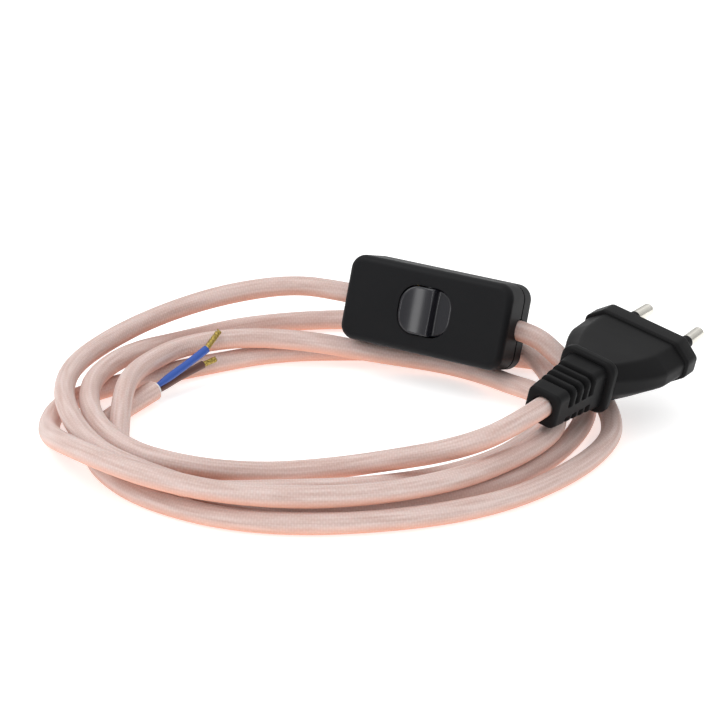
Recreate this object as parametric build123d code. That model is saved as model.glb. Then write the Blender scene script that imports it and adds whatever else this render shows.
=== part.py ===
from build123d import *
import math
import os

# Fabric-covered two-core lamp cord with a flat two-pin plug, an in-line rocker switch and a bare end.
# Millimetres, +Z up. The cord lies on the surface z = 0, and the origin is the bottom centre of the whole.

# Cord
CORD_DIAMETER = 6.2
SHEATH_DIAMETER = 5.0
SHEATH_SHOWN = 0.8
CORE_DIAMETER = 2.4
CORE_SPACING = 2.6
COPPER_DIAMETER = 1.3
STRANDS_DIAMETER = 1.9
SIDE_SHARE = 0.5
ARC_SHARE = 0.45

# Plug, measured along its own Y from the cord mouth to the pins
RELIEF_LENGTH = 24.0
RELIEF_MOUTH_SIZE = 10.4
RELIEF_ROOT_SIZE = 13.4
RELIEF_CORNER = 2.2
GROOVE_COUNT = 4
GROOVE_WIDTH = 1.5
GROOVE_DEPTH = 1.5
GROOVE_PITCH = 3.5
GROOVE_START = 7.6
SPINE_HEIGHT = 3.0
SPINE_DROP = 1.2
COLLAR_WIDTH = 17.6
COLLAR_HEIGHT = 16.6
COLLAR_THICKNESS = 3.4
COLLAR_CORNER = 3.6
BODY_LENGTH = 38.0
BODY_ROOT_WIDTH = 17.0
BODY_ROOT_HEIGHT = 13.4
SHOULDER_AT = 25.0
FACE_WIDTH = 35.3
FACE_HEIGHT = 13.7
FACE_BEVEL = 5.2
LIP_LENGTH = 3.0
LIP_STEP = 0.9
PIN_SPACING_FACE = 18.6
PIN_SPACING_TIP = 17.5
PIN_DIAMETER = 4.0
PIN_LENGTH = 19.0
SLEEVE_LENGTH = 10.0
SLEEVE_DIAMETER = 4.0
PIN_NECK_DIAMETER = 3.0
BRIDGE_WIDTH = 26.0
BRIDGE_HEIGHT = 8.4
BRIDGE_DEPTH = 12.0
CRIMP_DIAMETER = 3.6
CRIMP_LENGTH = 6.0

# Switch, in its own frame: X along the cord, Y across, Z out of the face with the rocker
SWITCH_LENGTH = 54.0
SWITCH_WIDTH = 26.0
SWITCH_THICKNESS = 17.0
SWITCH_CORNER = 4.6
SWITCH_EDGE = 2.2
SHELL_WALL = 1.6
PARTING_FROM_BACK = 6.8
CORD_CLEARANCE = 0.15
CORD_INSIDE = 6.0
SWITCH_LEAD = 4.6
RUNNING_GAP = 0.3
SEAM_WIDTH = 0.3

# Rocker and contacts
OPENING_LENGTH = 17.4
OPENING_WIDTH = 15.0
OPENING_CORNER = 6.0
ROCKER_SWING = 12.0
ROCKER_HINGE_DEPTH = 1.9
ROCKER_WAIST = 2.4
ROCKER_BELOW = 2.2
PIVOT_DIAMETER = 2.4
PIVOT_LENGTH = 1.4
PIVOT_CLEARANCE = 0.05
EAR_WALL = 1.5
STEM_DIAMETER = 5.0
STEM_LENGTH = 2.0
PLUNGER_DIAMETER = 3.0
PLUNGER_SHOWN = 1.4
SPRING_WIRE = 0.4
SPRING_TURNS = 3
SEESAW_SWING = 6.0
SEESAW_LENGTH = 12.0
SEESAW_WIDTH = 3.6
SEESAW_SHEET = 0.5
RIVET_DIAMETER = 2.0
RIVET_HEIGHT = 0.5
RIVET_OFFSET = 4.8
CONTACT_GAP = 0.05
TIP_GAP = 0.2

# Terminals, clamps and screws
TERMINAL_LENGTH = 6.0
TERMINAL_SIZE = 4.6
TERMINAL_FROM_END = 17.0
TERMINAL_FROM_SIDE = 6.4
TERMINAL_X = SWITCH_LENGTH / 2 - TERMINAL_FROM_END
TERMINAL_Y = SWITCH_WIDTH / 2 - TERMINAL_FROM_SIDE
NEUTRAL_LENGTH = 10.0
NEUTRAL_Y = 7.2
TERMINAL_FOOT = 0.2
STRIP_THICKNESS = 0.6
TERMINAL_SCREW_DIAMETER = 2.0
SCREW_CLEARANCE = 0.05
SCREW_HEAD_RATIO = 1.7
SCREW_HEAD_HEIGHT = 1.2
SLOT_WIDTH = 0.5
CLAMP_FROM_END = 4.6
CLAMP_X = SWITCH_LENGTH / 2 - CLAMP_FROM_END
CLAMP_SCREW_Y = 5.7
CLAMP_POST_DIAMETER = 4.4
CLAMP_BAR_WIDTH = 4.4
CLAMP_BAR_LENGTH = 16.0
CLAMP_BAR_THICKNESS = 1.8
CLAMP_SCREW_DIAMETER = 2.2
HOUSING_SCREW_DIAMETER = 2.6
HOUSING_SCREW_FROM_END = 10.0
HOUSING_SCREW_FROM_SIDE = 3.7
HOUSING_SCREW_X = SWITCH_LENGTH / 2 - HOUSING_SCREW_FROM_END
HOUSING_SCREW_Y = SWITCH_WIDTH / 2 - HOUSING_SCREW_FROM_SIDE
BOSS_DIAMETER = 4.8

# Places. The plug is set by its cord mouth, the switch by the middle of its lower side.
PLUG_X_DIR = (0.813, -0.545, -0.204)
PLUG_Z_DIR = (0.186, -0.088, 0.979)
SWITCH_LOW_SIDE = (14.948, 28.067, 9.767)
SWITCH_X_DIR = (0.8804, -0.4740, -0.0131)
SWITCH_Z_DIR = (-0.4378, -0.8228, 0.3584)

# Route of each cord: x, y and how far its underside is above the surface
PLUG_MOUTH = (44.9, -32.9, 17.3)
PLUG_LEAD = 10.3
PLUG_CORD = [
    (29.4, -46.6, 14.4), (17.6, -46.3, 10.4), (3.6, -43.2, 6.3),
    (-12.4, -38.9, 1.6), (-26.4, -38.7, 0.2), (-36.4, -41.1, 1.4), (-47.4, -44.7, 4.2),
    (-57.4, -45.5, 6.5), (-67.3, -40.9, 7.2), (-74.8, -31, 6.8), (-80.9, -18.7, 6.7),
    (-84.4, -3.7, 6.6), (-83.9, 12.3, 6.8), (-75.4, 31.3, 5.8), (-60.4, 49.3, 2),
    (-43.4, 63.3, 0.5), (-22.4, 70.3, 0), (1.6, 69.3, 0.5), (22.6, 58.3, 3.8),
    (38.6, 41.3, 6.8), (48.6, 24.3, 6.3), (53.1, 10.3, 2.8), (50.6, -2.7, 0),
    (44.6, -15.7, 0), (33.6, -30.2, 0), (16.6, -42.2, 0), (-6.4, -48.2, 0),
    (-30.4, -49.7, 0), (-47.4, -50, 0), (-58.9, -46.7, 0), (-67, -39.5, 0),
    (-72.6, -30.2, 0), (-74.4, -19.7, 0.2), (-74.6, -9.7, 3.6), (-74.4, 0.3, 6.8),
    (-73.2, 11.3, 7), (-68.9, 22.3, 6.6), (-59.4, 35.3, 6.4), (-41.4, 41, 6.8),
    (-20.4, 41.5, 5.2), (0, 39.3, 1.9), (19.6, 36.3, 0.2), (31.6, 28.3, 0.2),
    (39.6, 15.3, 2.4), (45.6, 2.3, 6.2), (50.6, -8.7, 6.6), (50.6, -20.7, 6.4),
    (45.6, -31.7, 6.4), (35.6, -43.7, 6.4), (20.6, -55.7, 6.4), (1.6, -63.7, 6.4),
    (-20.4, -66.7, 6.4), (-42.4, -65.2, 7.2), (-60.4, -60.6, 9.2), (-75.9, -51.8, 10.5),
    (-87.3, -39.1, 9.4), (-93.2, -23.1, 4), (-95.6, -7.7, 0.5), (-93.9, 5.3, 0),
    (-85.9, 15.3, 0), (-70.9, 25.3, 0), (-54.4, 34.3, 0), (-30.4, 45.3, 0),
    (-4.4, 46.3, 0), (23.6, 43.3, 0), (47.6, 40.3, 0), (58.6, 31.3, 0),
    (62.1, 16.3, 0), (61.1, 0.3, 0), (56.1, -15.7, 0), (46.6, -32.2, 0),
    (30.6, -48.2, 0), (7.6, -58.7, 0), (-20.4, -62.7, 0), (-38.4, -59.9, 1.5),
    (-54.4, -55.7, 5.2), (-66, -50.7, 7.2), (-76.1, -42.8, 7.8), (-83.1, -31.1, 8.1),
    (-88.5, -16.7, 8.2), (-91.9, -0.7, 8), (-90.9, 15.3, 8.4), (-82.4, 30.3, 9.8),
    (-68.5, 44.6, 12), (-48.5, 53.5, 15.6), (-26.5, 55, 18.6)]
LAMP_CORD = [
    (53.5, 14.3, 11.9), (60.8, 8, 7.2), (65.8, -0.8, 4.8), (67.8, -11.7, 0.9), (63.6, -23.4, 0), (53.6, -38.3, 0), (35.6, -55.5, 0),
    (11.6, -65.6, 0), (-16.4, -70, 0), (-42.4, -66.7, 0), (-63.4, -54.7, 0),
    (-76.2, -39.7, 0), (-81.8, -24.7, 0), (-81.6, -10.2, 0), (-75.4, 2.5, 0),
    (-66.8, 13.7, 1.2)]

# Bare wires, from the cut end: blue over brown
BLUE_WIRE = [(-61.6, 18.1, 7.2), (-56.6, 23.4, 9.2), (-51.6, 28.3, 11.4)]
BLUE_TIP = (-48.2, 36.0, 14.0)
BROWN_WIRE = [(-62.0, 20.3, 4.2), (-57.8, 24.6, 5.0), (-52.9, 28.9, 6.0)]
BROWN_TIP = (-49.1, 31.3, 6.8)

CORD_RADIUS = CORD_DIAMETER / 2
PARTING_Z = PARTING_FROM_BACK - SWITCH_THICKNESS / 2
FACE_Z = SWITCH_THICKNESS / 2
BACK_Z = -SWITCH_THICKNESS / 2
CEILING_Z = FACE_Z - SHELL_WALL
FLOOR_Z = BACK_Z + SHELL_WALL
HINGE_Z = FACE_Z - ROCKER_HINGE_DEPTH
PLUG_LENGTH = RELIEF_LENGTH + BODY_LENGTH
SWITCH_LOW_PLACE = Plane(origin=SWITCH_LOW_SIDE, x_dir=SWITCH_X_DIR, z_dir=SWITCH_Z_DIR)
SWITCH_MIDDLE = SWITCH_LOW_PLACE.from_local_coords(Vector(0, SWITCH_WIDTH / 2, 0))
SWITCH_PLACE = Plane(origin=SWITCH_MIDDLE, x_dir=SWITCH_X_DIR, z_dir=SWITCH_Z_DIR)


def lifted(point):
    """Centre-line point of the cord over a route point."""
    return Vector(point[0], point[1], point[2] + CORD_RADIUS)


MOUTH_POINT = lifted(PLUG_MOUTH)
PLUG_PLACE = Plane(origin=MOUTH_POINT, x_dir=PLUG_X_DIR, z_dir=PLUG_Z_DIR)


def in_switch(x, y, z):
    """World point of a point given in the switch's frame."""
    return SWITCH_PLACE.from_local_coords(Vector(x, y, z))


def keep(node, shape):
    """Write one node as a STEP file."""
    export_step(shape, os.path.join("parts", node + ".step"))


def box_at(x0, x1, y0, y1, z0, z1):
    """Box between two corners."""
    middle = ((x0 + x1) / 2, (y0 + y1) / 2, (z0 + z1) / 2)
    return Pos(*middle) * Box(x1 - x0, y1 - y0, z1 - z0)


def rod(x, y, z0, z1, diameter):
    """Cylinder along Z from z0 to z1."""
    return Pos(x, y, (z0 + z1) / 2) * Cylinder(diameter / 2, z1 - z0)


def tube_path(points):
    """Straight runs joined by tangent arcs, each as large as its two runs allow."""
    radii = []
    for before, at, after in zip(points, points[1:], points[2:]):
        turn = math.radians((at - before).get_angle(after - at))
        run = min((at - before).length, (after - at).length)
        radii.append(ARC_SHARE * run / math.tan(turn / 2))
    return FilletPolyline(*points, radius=radii), radii


def tube(points, diameter):
    """Round tube along a path of runs and arcs."""
    path, radii = tube_path(points)
    start = Plane(origin=points[0], z_dir=points[1] - points[0])
    return sweep(start * Circle(diameter / 2), path=path), path, radii


def make_cords():
    """The two cord tubes, meeting the plug's mouth and reaching into the switch."""
    inside_x = SWITCH_LENGTH / 2 - CORD_INSIDE
    lead_x = SWITCH_LENGTH / 2 + CORD_INSIDE
    mouth_lead = PLUG_PLACE.from_local_coords(Vector(0, -PLUG_LEAD, 0))
    left = [in_switch(-lead_x, 0, PARTING_Z), in_switch(-inside_x, 0, PARTING_Z)]
    right = [in_switch(inside_x, 0, PARTING_Z), in_switch(SWITCH_LENGTH / 2 + SWITCH_LEAD, 0, PARTING_Z)]
    plug_points = [MOUTH_POINT, mouth_lead] + [lifted(p) for p in PLUG_CORD] + left
    lamp_points = right + [lifted(p) for p in LAMP_CORD]
    for node, points in (("fabric_cord_plug_side", plug_points), ("fabric_cord_lamp_side", lamp_points)):
        solid, path, radii = tube(points, CORD_DIAMETER)
        section = math.pi * CORD_RADIUS ** 2
        print(node, "length", round(path.length, 1), "volume ratio", round(solid.volume / section / path.length, 4))
        print("radii", [round(r, 1) for r in radii])
        keep(node, solid)
    return lamp_points


def make_bare_end(lamp_points):
    """Cut end of the inner sheath, two insulated wires and their twisted strands."""
    end = lamp_points[-1]
    along = (end - lamp_points[-2]).normalized()
    start = Plane(origin=end, z_dir=along)
    sheath = extrude(start * Circle(SHEATH_DIAMETER / 2), amount=SHEATH_SHOWN)
    keep("inner_sheath_end", sheath)
    root = end + along * SHEATH_SHOWN
    side = along.cross(Vector(0, 0, 1)).normalized()
    up = side.cross(along)
    apart = (side * SIDE_SHARE + up).normalized() * CORE_SPACING / 2
    for colour, wire, tip, offset in (("blue", BLUE_WIRE, BLUE_TIP, apart), ("brown", BROWN_WIRE, BROWN_TIP, -apart)):
        first = root + offset
        points = [first, first + along * CORE_DIAMETER / 2] + [Vector(*p) for p in wire]
        keep(colour + "_wire", tube(points, CORE_DIAMETER)[0])
        onward = (points[-1] - points[-2]).normalized()
        tail = [points[-1], points[-1] + onward * STRANDS_DIAMETER, Vector(*tip)]
        keep(colour + "_strands", tube(tail, STRANDS_DIAMETER)[0])


def bevelled(width, height, bevel):
    """Flat eight-sided plug section: level top and bottom, bevelled sides."""
    w = width / 2
    h = height / 2
    rise = h * 0.35
    corners = [(-w + bevel, -h), (w - bevel, -h), (w, -rise), (w, rise), (w - bevel, h), (-w + bevel, h),
               (-w, rise), (-w, -rise)]
    return Polygon(*corners, align=None)


def across(y):
    """Plane across the plug's axis, X wide and Z up, looking towards the cord."""
    return Plane(origin=(0, y, 0), x_dir=(1, 0, 0), z_dir=(0, -1, 0))


def plug_relief():
    """Tapered strain relief with grooves that stop at a spine on each side."""
    mouth = across(0) * RectangleRounded(RELIEF_MOUTH_SIZE, RELIEF_MOUTH_SIZE, RELIEF_CORNER)
    root = across(RELIEF_LENGTH) * RectangleRounded(RELIEF_ROOT_SIZE, RELIEF_ROOT_SIZE, RELIEF_CORNER)
    relief = loft([mouth, root])
    for index in range(GROOVE_COUNT):
        y = GROOVE_START + index * GROOVE_PITCH
        size = RELIEF_MOUTH_SIZE + (RELIEF_ROOT_SIZE - RELIEF_MOUTH_SIZE) * y / RELIEF_LENGTH
        core = size - 2 * GROOVE_DEPTH
        ring = Rectangle(size * 2, size * 2) - RectangleRounded(core, core, RELIEF_CORNER)
        spine = Pos(0, -SPINE_DROP) * Rectangle(2 * size, SPINE_HEIGHT)
        cut = extrude(across(y) * (ring - spine), amount=GROOVE_WIDTH / 2, both=True)
        relief -= cut
    return relief


def plug_shell():
    """Collar, tapered body and the raised lip round the engagement face."""
    collar_outline = RectangleRounded(COLLAR_WIDTH, COLLAR_HEIGHT, COLLAR_CORNER)
    collar = extrude(across(RELIEF_LENGTH + COLLAR_THICKNESS) * collar_outline, amount=COLLAR_THICKNESS)
    inner_width = FACE_WIDTH - 2 * LIP_STEP
    inner_height = FACE_HEIGHT - 2 * LIP_STEP
    root_y = RELIEF_LENGTH + COLLAR_THICKNESS
    shoulder_y = RELIEF_LENGTH + SHOULDER_AT
    lip_y = PLUG_LENGTH - LIP_LENGTH
    root = across(root_y) * bevelled(BODY_ROOT_WIDTH, BODY_ROOT_HEIGHT - LIP_STEP, FACE_BEVEL * 0.6)
    shoulder = across(shoulder_y) * bevelled(inner_width - LIP_STEP, inner_height, FACE_BEVEL)
    front = across(lip_y) * bevelled(inner_width, inner_height, FACE_BEVEL)
    body = loft([root, shoulder, front], ruled=True)
    lip = extrude(across(PLUG_LENGTH) * bevelled(FACE_WIDTH, FACE_HEIGHT, FACE_BEVEL), amount=LIP_LENGTH)
    return collar + body + lip


def pin_axis(side):
    """Plane at the engagement face on one pin's axis, Z pointing out along the pin."""
    face = Vector(side * PIN_SPACING_FACE / 2, PLUG_LENGTH, 0)
    tip = Vector(side * PIN_SPACING_TIP / 2, PLUG_LENGTH + PIN_LENGTH, 0)
    return Plane(origin=face, x_dir=(0, 0, 1), z_dir=tip - face)


def plug_pin(side):
    """One pin: neck inside the bridge and the sleeve, full size and domed beyond it."""
    neck = rod(0, 0, -BRIDGE_DEPTH - CRIMP_LENGTH / 2, SLEEVE_LENGTH, PIN_NECK_DIAMETER)
    metal = rod(0, 0, SLEEVE_LENGTH, PIN_LENGTH, PIN_DIAMETER)
    tip = metal.edges().group_by(Axis.Z)[-1]
    metal = fillet(tip, PIN_DIAMETER * 0.3)
    return pin_axis(side) * (neck + metal)


def plug_bridge():
    """Bridge block flush with the face, with both insulating sleeves."""
    outline = RectangleRounded(BRIDGE_WIDTH, BRIDGE_HEIGHT, BRIDGE_HEIGHT * 0.3)
    bridge = extrude(across(PLUG_LENGTH) * outline, amount=BRIDGE_DEPTH)
    for side in (-1, 1):
        sleeve = pin_axis(side) * rod(0, 0, -BRIDGE_DEPTH / 2, SLEEVE_LENGTH, SLEEVE_DIAMETER)
        bridge += sleeve
    for side in (-1, 1):
        bore = pin_axis(side) * rod(0, 0, -BRIDGE_DEPTH * 2, PIN_LENGTH, PIN_NECK_DIAMETER)
        bridge -= bore
    return bridge


def plug_crimp(side):
    """Crimp barrel on the back end of a pin."""
    back = -BRIDGE_DEPTH - CRIMP_LENGTH
    barrel = rod(0, 0, back, -BRIDGE_DEPTH - RUNNING_GAP, CRIMP_DIAMETER)
    hole = rod(0, 0, -BRIDGE_DEPTH - CRIMP_LENGTH / 2, 0, PIN_NECK_DIAMETER)
    return pin_axis(side) * (barrel - hole)


def plug_conductor(side):
    """Insulated conductor from the cord mouth to a crimp."""
    back = -BRIDGE_DEPTH - CRIMP_LENGTH
    end = pin_axis(side).from_local_coords(Vector(0, 0, back))
    behind = pin_axis(side).from_local_coords(Vector(0, 0, back - CRIMP_LENGTH))
    near = side * CORE_SPACING / 2
    points = [Vector(near, 0, 0), Vector(near, RELIEF_LENGTH / 2, 0), behind, end]
    return tube(points, CORE_DIAMETER)[0]


def make_plug():
    """Plug moulding, bridge, pins, crimps and conductors."""
    body = plug_relief() + plug_shell()
    bridge = plug_bridge()
    pins = {"left": plug_pin(-1), "right": plug_pin(1)}
    crimps = [plug_crimp(-1), plug_crimp(1)]
    wires = {"brown": plug_conductor(-1), "blue": plug_conductor(1)}
    solid_inside = [bridge] + list(pins.values()) + crimps + list(wires.values())
    for piece in solid_inside:
        body -= piece
    keep("plug_body", PLUG_PLACE * body)
    keep("plug_pin_bridge", PLUG_PLACE * bridge)
    for name, pin in pins.items():
        keep("plug_pin_" + name, PLUG_PLACE * pin)
    keep("plug_crimps", Compound(children=[PLUG_PLACE * crimp for crimp in crimps]))
    for name, wire in wires.items():
        keep("plug_conductor_" + name, PLUG_PLACE * wire)


def switch_block():
    """Outer shape of the closed switch."""
    block = Box(SWITCH_LENGTH, SWITCH_WIDTH, SWITCH_THICKNESS)
    block = fillet(block.edges().filter_by(Axis.Z), SWITCH_CORNER)
    rims = block.faces().sort_by(Axis.Z)[-1].edges() + block.faces().sort_by(Axis.Z)[0].edges()
    return fillet(rims, SWITCH_EDGE)


def switch_cavity():
    """Room inside the switch."""
    length = SWITCH_LENGTH - 2 * SHELL_WALL
    width = SWITCH_WIDTH - 2 * SHELL_WALL
    cavity = box_at(-length / 2, length / 2, -width / 2, width / 2, FLOOR_Z, CEILING_Z)
    return fillet(cavity.edges().filter_by(Axis.Z), SWITCH_CORNER - SHELL_WALL)


def cord_hole():
    """Hole through both ends for the cord."""
    hole = Cylinder(CORD_RADIUS + CORD_CLEARANCE, SWITCH_LENGTH + 2 * SHELL_WALL, rotation=(0, 90, 0))
    middle = box_at(-CLAMP_X + CLAMP_BAR_WIDTH, CLAMP_X - CLAMP_BAR_WIDTH, -SWITCH_WIDTH, SWITCH_WIDTH,
                    -SWITCH_THICKNESS, SWITCH_THICKNESS)
    return Pos(0, 0, PARTING_Z) * hole - middle


def half_space(z0, z1):
    """Slab that keeps one half of the switch."""
    return box_at(-SWITCH_LENGTH, SWITCH_LENGTH, -SWITCH_WIDTH, SWITCH_WIDTH, z0, z1)


def housing_screw_spots():
    """Places of the two housing screws, on a diagonal."""
    return [(-HOUSING_SCREW_X, -HOUSING_SCREW_Y), (HOUSING_SCREW_X, HOUSING_SCREW_Y)]


def clamp_screw_spots():
    """Places of the four clamp screws."""
    return [(x, y) for x in (-CLAMP_X, CLAMP_X) for y in (-CLAMP_SCREW_Y, CLAMP_SCREW_Y)]


def front_shell():
    """Front shell with the rocker opening, the pivot ears and the screw bosses."""
    shell = (switch_block() - switch_cavity()) & half_space(PARTING_Z + SEAM_WIDTH / 2, SWITCH_THICKNESS)
    opening = RectangleRounded(OPENING_LENGTH, OPENING_WIDTH, OPENING_CORNER)
    shell -= Pos(0, 0, CEILING_Z - SHELL_WALL) * extrude(opening, amount=3 * SHELL_WALL)
    ear_y = OPENING_WIDTH / 2 + PIVOT_LENGTH + EAR_WALL
    ear_low = HINGE_Z - PIVOT_DIAMETER / 2 - EAR_WALL
    for side in (-1, 1):
        y0, y1 = sorted((side * OPENING_WIDTH / 2, side * ear_y))
        shell += box_at(-PIVOT_DIAMETER, PIVOT_DIAMETER, y0, y1, ear_low, CEILING_Z + SHELL_WALL / 2)
    bore = Cylinder(PIVOT_DIAMETER / 2 + PIVOT_CLEARANCE, OPENING_WIDTH + 2 * PIVOT_LENGTH, rotation=(90, 0, 0))
    shell -= Pos(0, 0, HINGE_Z) * bore
    for x, y in housing_screw_spots():
        shell += rod(x, y, PARTING_Z + SEAM_WIDTH / 2, CEILING_Z + SHELL_WALL / 2, BOSS_DIAMETER)
        shell -= rod(x, y, PARTING_Z, CEILING_Z - SHELL_WALL, HOUSING_SCREW_DIAMETER + 2 * SCREW_CLEARANCE)
    return shell - cord_hole()


def seat_top():
    """Height at which the clamp bars sit."""
    return PARTING_Z + CORD_RADIUS + RUNNING_GAP / 3


def back_shell():
    """Back shell with the clamp posts, the cord saddles, the screw posts and the contact rest."""
    shell = (switch_block() - switch_cavity()) & half_space(-SWITCH_THICKNESS, PARTING_Z - SEAM_WIDTH / 2)
    for x, y in clamp_screw_spots():
        shell += rod(x, y, FLOOR_Z - SHELL_WALL / 2, seat_top(), CLAMP_POST_DIAMETER)
    saddle_top = PARTING_Z - CORD_RADIUS - CONTACT_GAP
    for x in (-CLAMP_X, CLAMP_X):
        shell += box_at(x - CLAMP_BAR_WIDTH / 2, x + CLAMP_BAR_WIDTH / 2, -CLAMP_SCREW_Y, CLAMP_SCREW_Y,
                        FLOOR_Z - SHELL_WALL / 2, saddle_top)
    for x, y in clamp_screw_spots():
        shell -= rod(x, y, BACK_Z + SHELL_WALL, seat_top() + 1, CLAMP_SCREW_DIAMETER + 2 * SCREW_CLEARANCE)
    for x, y in housing_screw_spots():
        shell += rod(x, y, FLOOR_Z - SHELL_WALL / 2, PARTING_Z - SEAM_WIDTH / 2, BOSS_DIAMETER)
        shell -= rod(x, y, BACK_Z - 1, PARTING_Z, HOUSING_SCREW_DIAMETER + 2 * SCREW_CLEARANCE)
        head = HOUSING_SCREW_DIAMETER * SCREW_HEAD_RATIO + 2 * RUNNING_GAP
        shell -= rod(x, y, BACK_Z - 1, BACK_Z + SCREW_HEAD_HEIGHT + CONTACT_GAP, head)
    shell += rod(-RIVET_OFFSET, 0, FLOOR_Z - SHELL_WALL / 2, rest_top(), RIVET_DIAMETER * 1.5)
    return shell - cord_hole()


def seesaw_low():
    """Underside of the see-saw strip when it is level."""
    tip_low = HINGE_Z - ROCKER_BELOW - STEM_LENGTH - PLUNGER_SHOWN
    return tip_low - TIP_GAP - SEESAW_SHEET


def rest_top():
    """Height of the fixed contact and of the rest, met by a rivet at the end of the swing."""
    drop = RIVET_OFFSET * math.sin(math.radians(SEESAW_SWING))
    return seesaw_low() - RIVET_HEIGHT - drop - 2 * CONTACT_GAP


def rocker_shape():
    """Rocker at mid travel: round about its hinge, with two pads that rise outwards."""
    outline = RectangleRounded(OPENING_LENGTH - 2 * RUNNING_GAP, OPENING_WIDTH - 2 * RUNNING_GAP,
                               OPENING_CORNER - RUNNING_GAP)
    keep_half = Pos(OPENING_LENGTH / 2, 0) * Rectangle(OPENING_LENGTH, OPENING_WIDTH)
    drum = revolve(outline & keep_half, Axis.Y, 360)
    reach = OPENING_LENGTH
    rise = reach * math.tan(math.radians(ROCKER_SWING))
    profile = Polygon((-reach, -ROCKER_BELOW), (reach, -ROCKER_BELOW), (reach, ROCKER_WAIST + rise),
                      (0, ROCKER_WAIST), (-reach, ROCKER_WAIST + rise), align=None)
    slab = extrude(Plane.XZ * profile, amount=OPENING_WIDTH, both=True)
    rocker = drum & slab
    pivot = Cylinder(PIVOT_DIAMETER / 2, OPENING_WIDTH + 2 * PIVOT_LENGTH - 4 * RUNNING_GAP, rotation=(90, 0, 0))
    rocker += pivot
    rocker += rod(0, 0, -ROCKER_BELOW - STEM_LENGTH, 0, STEM_DIAMETER)
    bore_top = ROCKER_WAIST / 2 - ROCKER_BELOW
    rocker -= rod(0, 0, -ROCKER_BELOW - STEM_LENGTH - 1, bore_top, PLUNGER_DIAMETER + 4 * PIVOT_CLEARANCE)
    return rocker, bore_top


def plunger_shape():
    """Plunger with a domed tip, sliding in the rocker's stem."""
    low = -ROCKER_BELOW - STEM_LENGTH - PLUNGER_SHOWN
    high = low + PLUNGER_SHOWN + STEM_LENGTH * 0.6
    plunger = rod(0, 0, low, high, PLUNGER_DIAMETER)
    tip = plunger.edges().group_by(Axis.Z)[0]
    return fillet(tip, PLUNGER_DIAMETER * 0.3), high


def plunger_spring(low, high):
    """Small coil spring between the plunger and the rocker."""
    height = high - low - SPRING_WIRE - 2 * CONTACT_GAP
    radius = PLUNGER_DIAMETER / 2 - SPRING_WIRE / 2
    helix = Helix(pitch=height / SPRING_TURNS, height=height, radius=radius)
    start = Plane(origin=helix @ 0, z_dir=helix % 0)
    spring = sweep(start * Circle(SPRING_WIRE / 2), path=helix, is_frenet=True)
    return Pos(0, 0, low + SPRING_WIRE / 2 + CONTACT_GAP) * spring


def make_rocker():
    """Rocker, plunger and spring, tipped to their rest with the left half raised."""
    rocker, bore_top = rocker_shape()
    plunger, plunger_top = plunger_shape()
    spring = plunger_spring(plunger_top, bore_top)
    rest = SWITCH_PLACE * Pos(0, 0, HINGE_Z) * Rot(0, ROCKER_SWING, 0)
    keep("switch_rocker", rest * rocker)
    keep("rocker_plunger", rest * plunger)
    keep("rocker_spring", rest * spring)


def make_seesaw():
    """See-saw contact with two rivets, its left end down at rest."""
    low = 0
    strip = box_at(-SEESAW_LENGTH / 2, SEESAW_LENGTH / 2, -SEESAW_WIDTH / 2, SEESAW_WIDTH / 2, low, SEESAW_SHEET)
    for x in (-RIVET_OFFSET, RIVET_OFFSET):
        strip += rod(x, 0, -RIVET_HEIGHT, SEESAW_SHEET / 2, RIVET_DIAMETER)
    rest = SWITCH_PLACE * Pos(0, 0, seesaw_low()) * Rot(0, -SEESAW_SWING, 0)
    keep("seesaw_contact", rest * strip)


def terminal_block(x0, x1, y, screws):
    """Terminal block with a wire hole along X and screw holes from above."""
    low = FLOOR_Z + TERMINAL_FOOT
    high = low + TERMINAL_SIZE
    block = box_at(x0, x1, y - TERMINAL_SIZE / 2, y + TERMINAL_SIZE / 2, low, high)
    wire_z = low + TERMINAL_SIZE / 2
    hole = Cylinder(COPPER_DIAMETER / 2 + SCREW_CLEARANCE * 2, x1 - x0 + 2, rotation=(0, 90, 0))
    block -= Pos((x0 + x1) / 2, y, wire_z) * hole
    for x in screws:
        block -= rod(x, y, wire_z, high + 1, TERMINAL_SCREW_DIAMETER + 2 * SCREW_CLEARANCE)
    return block


def block_top():
    """Top of every terminal block."""
    return FLOOR_Z + TERMINAL_FOOT + TERMINAL_SIZE


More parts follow.
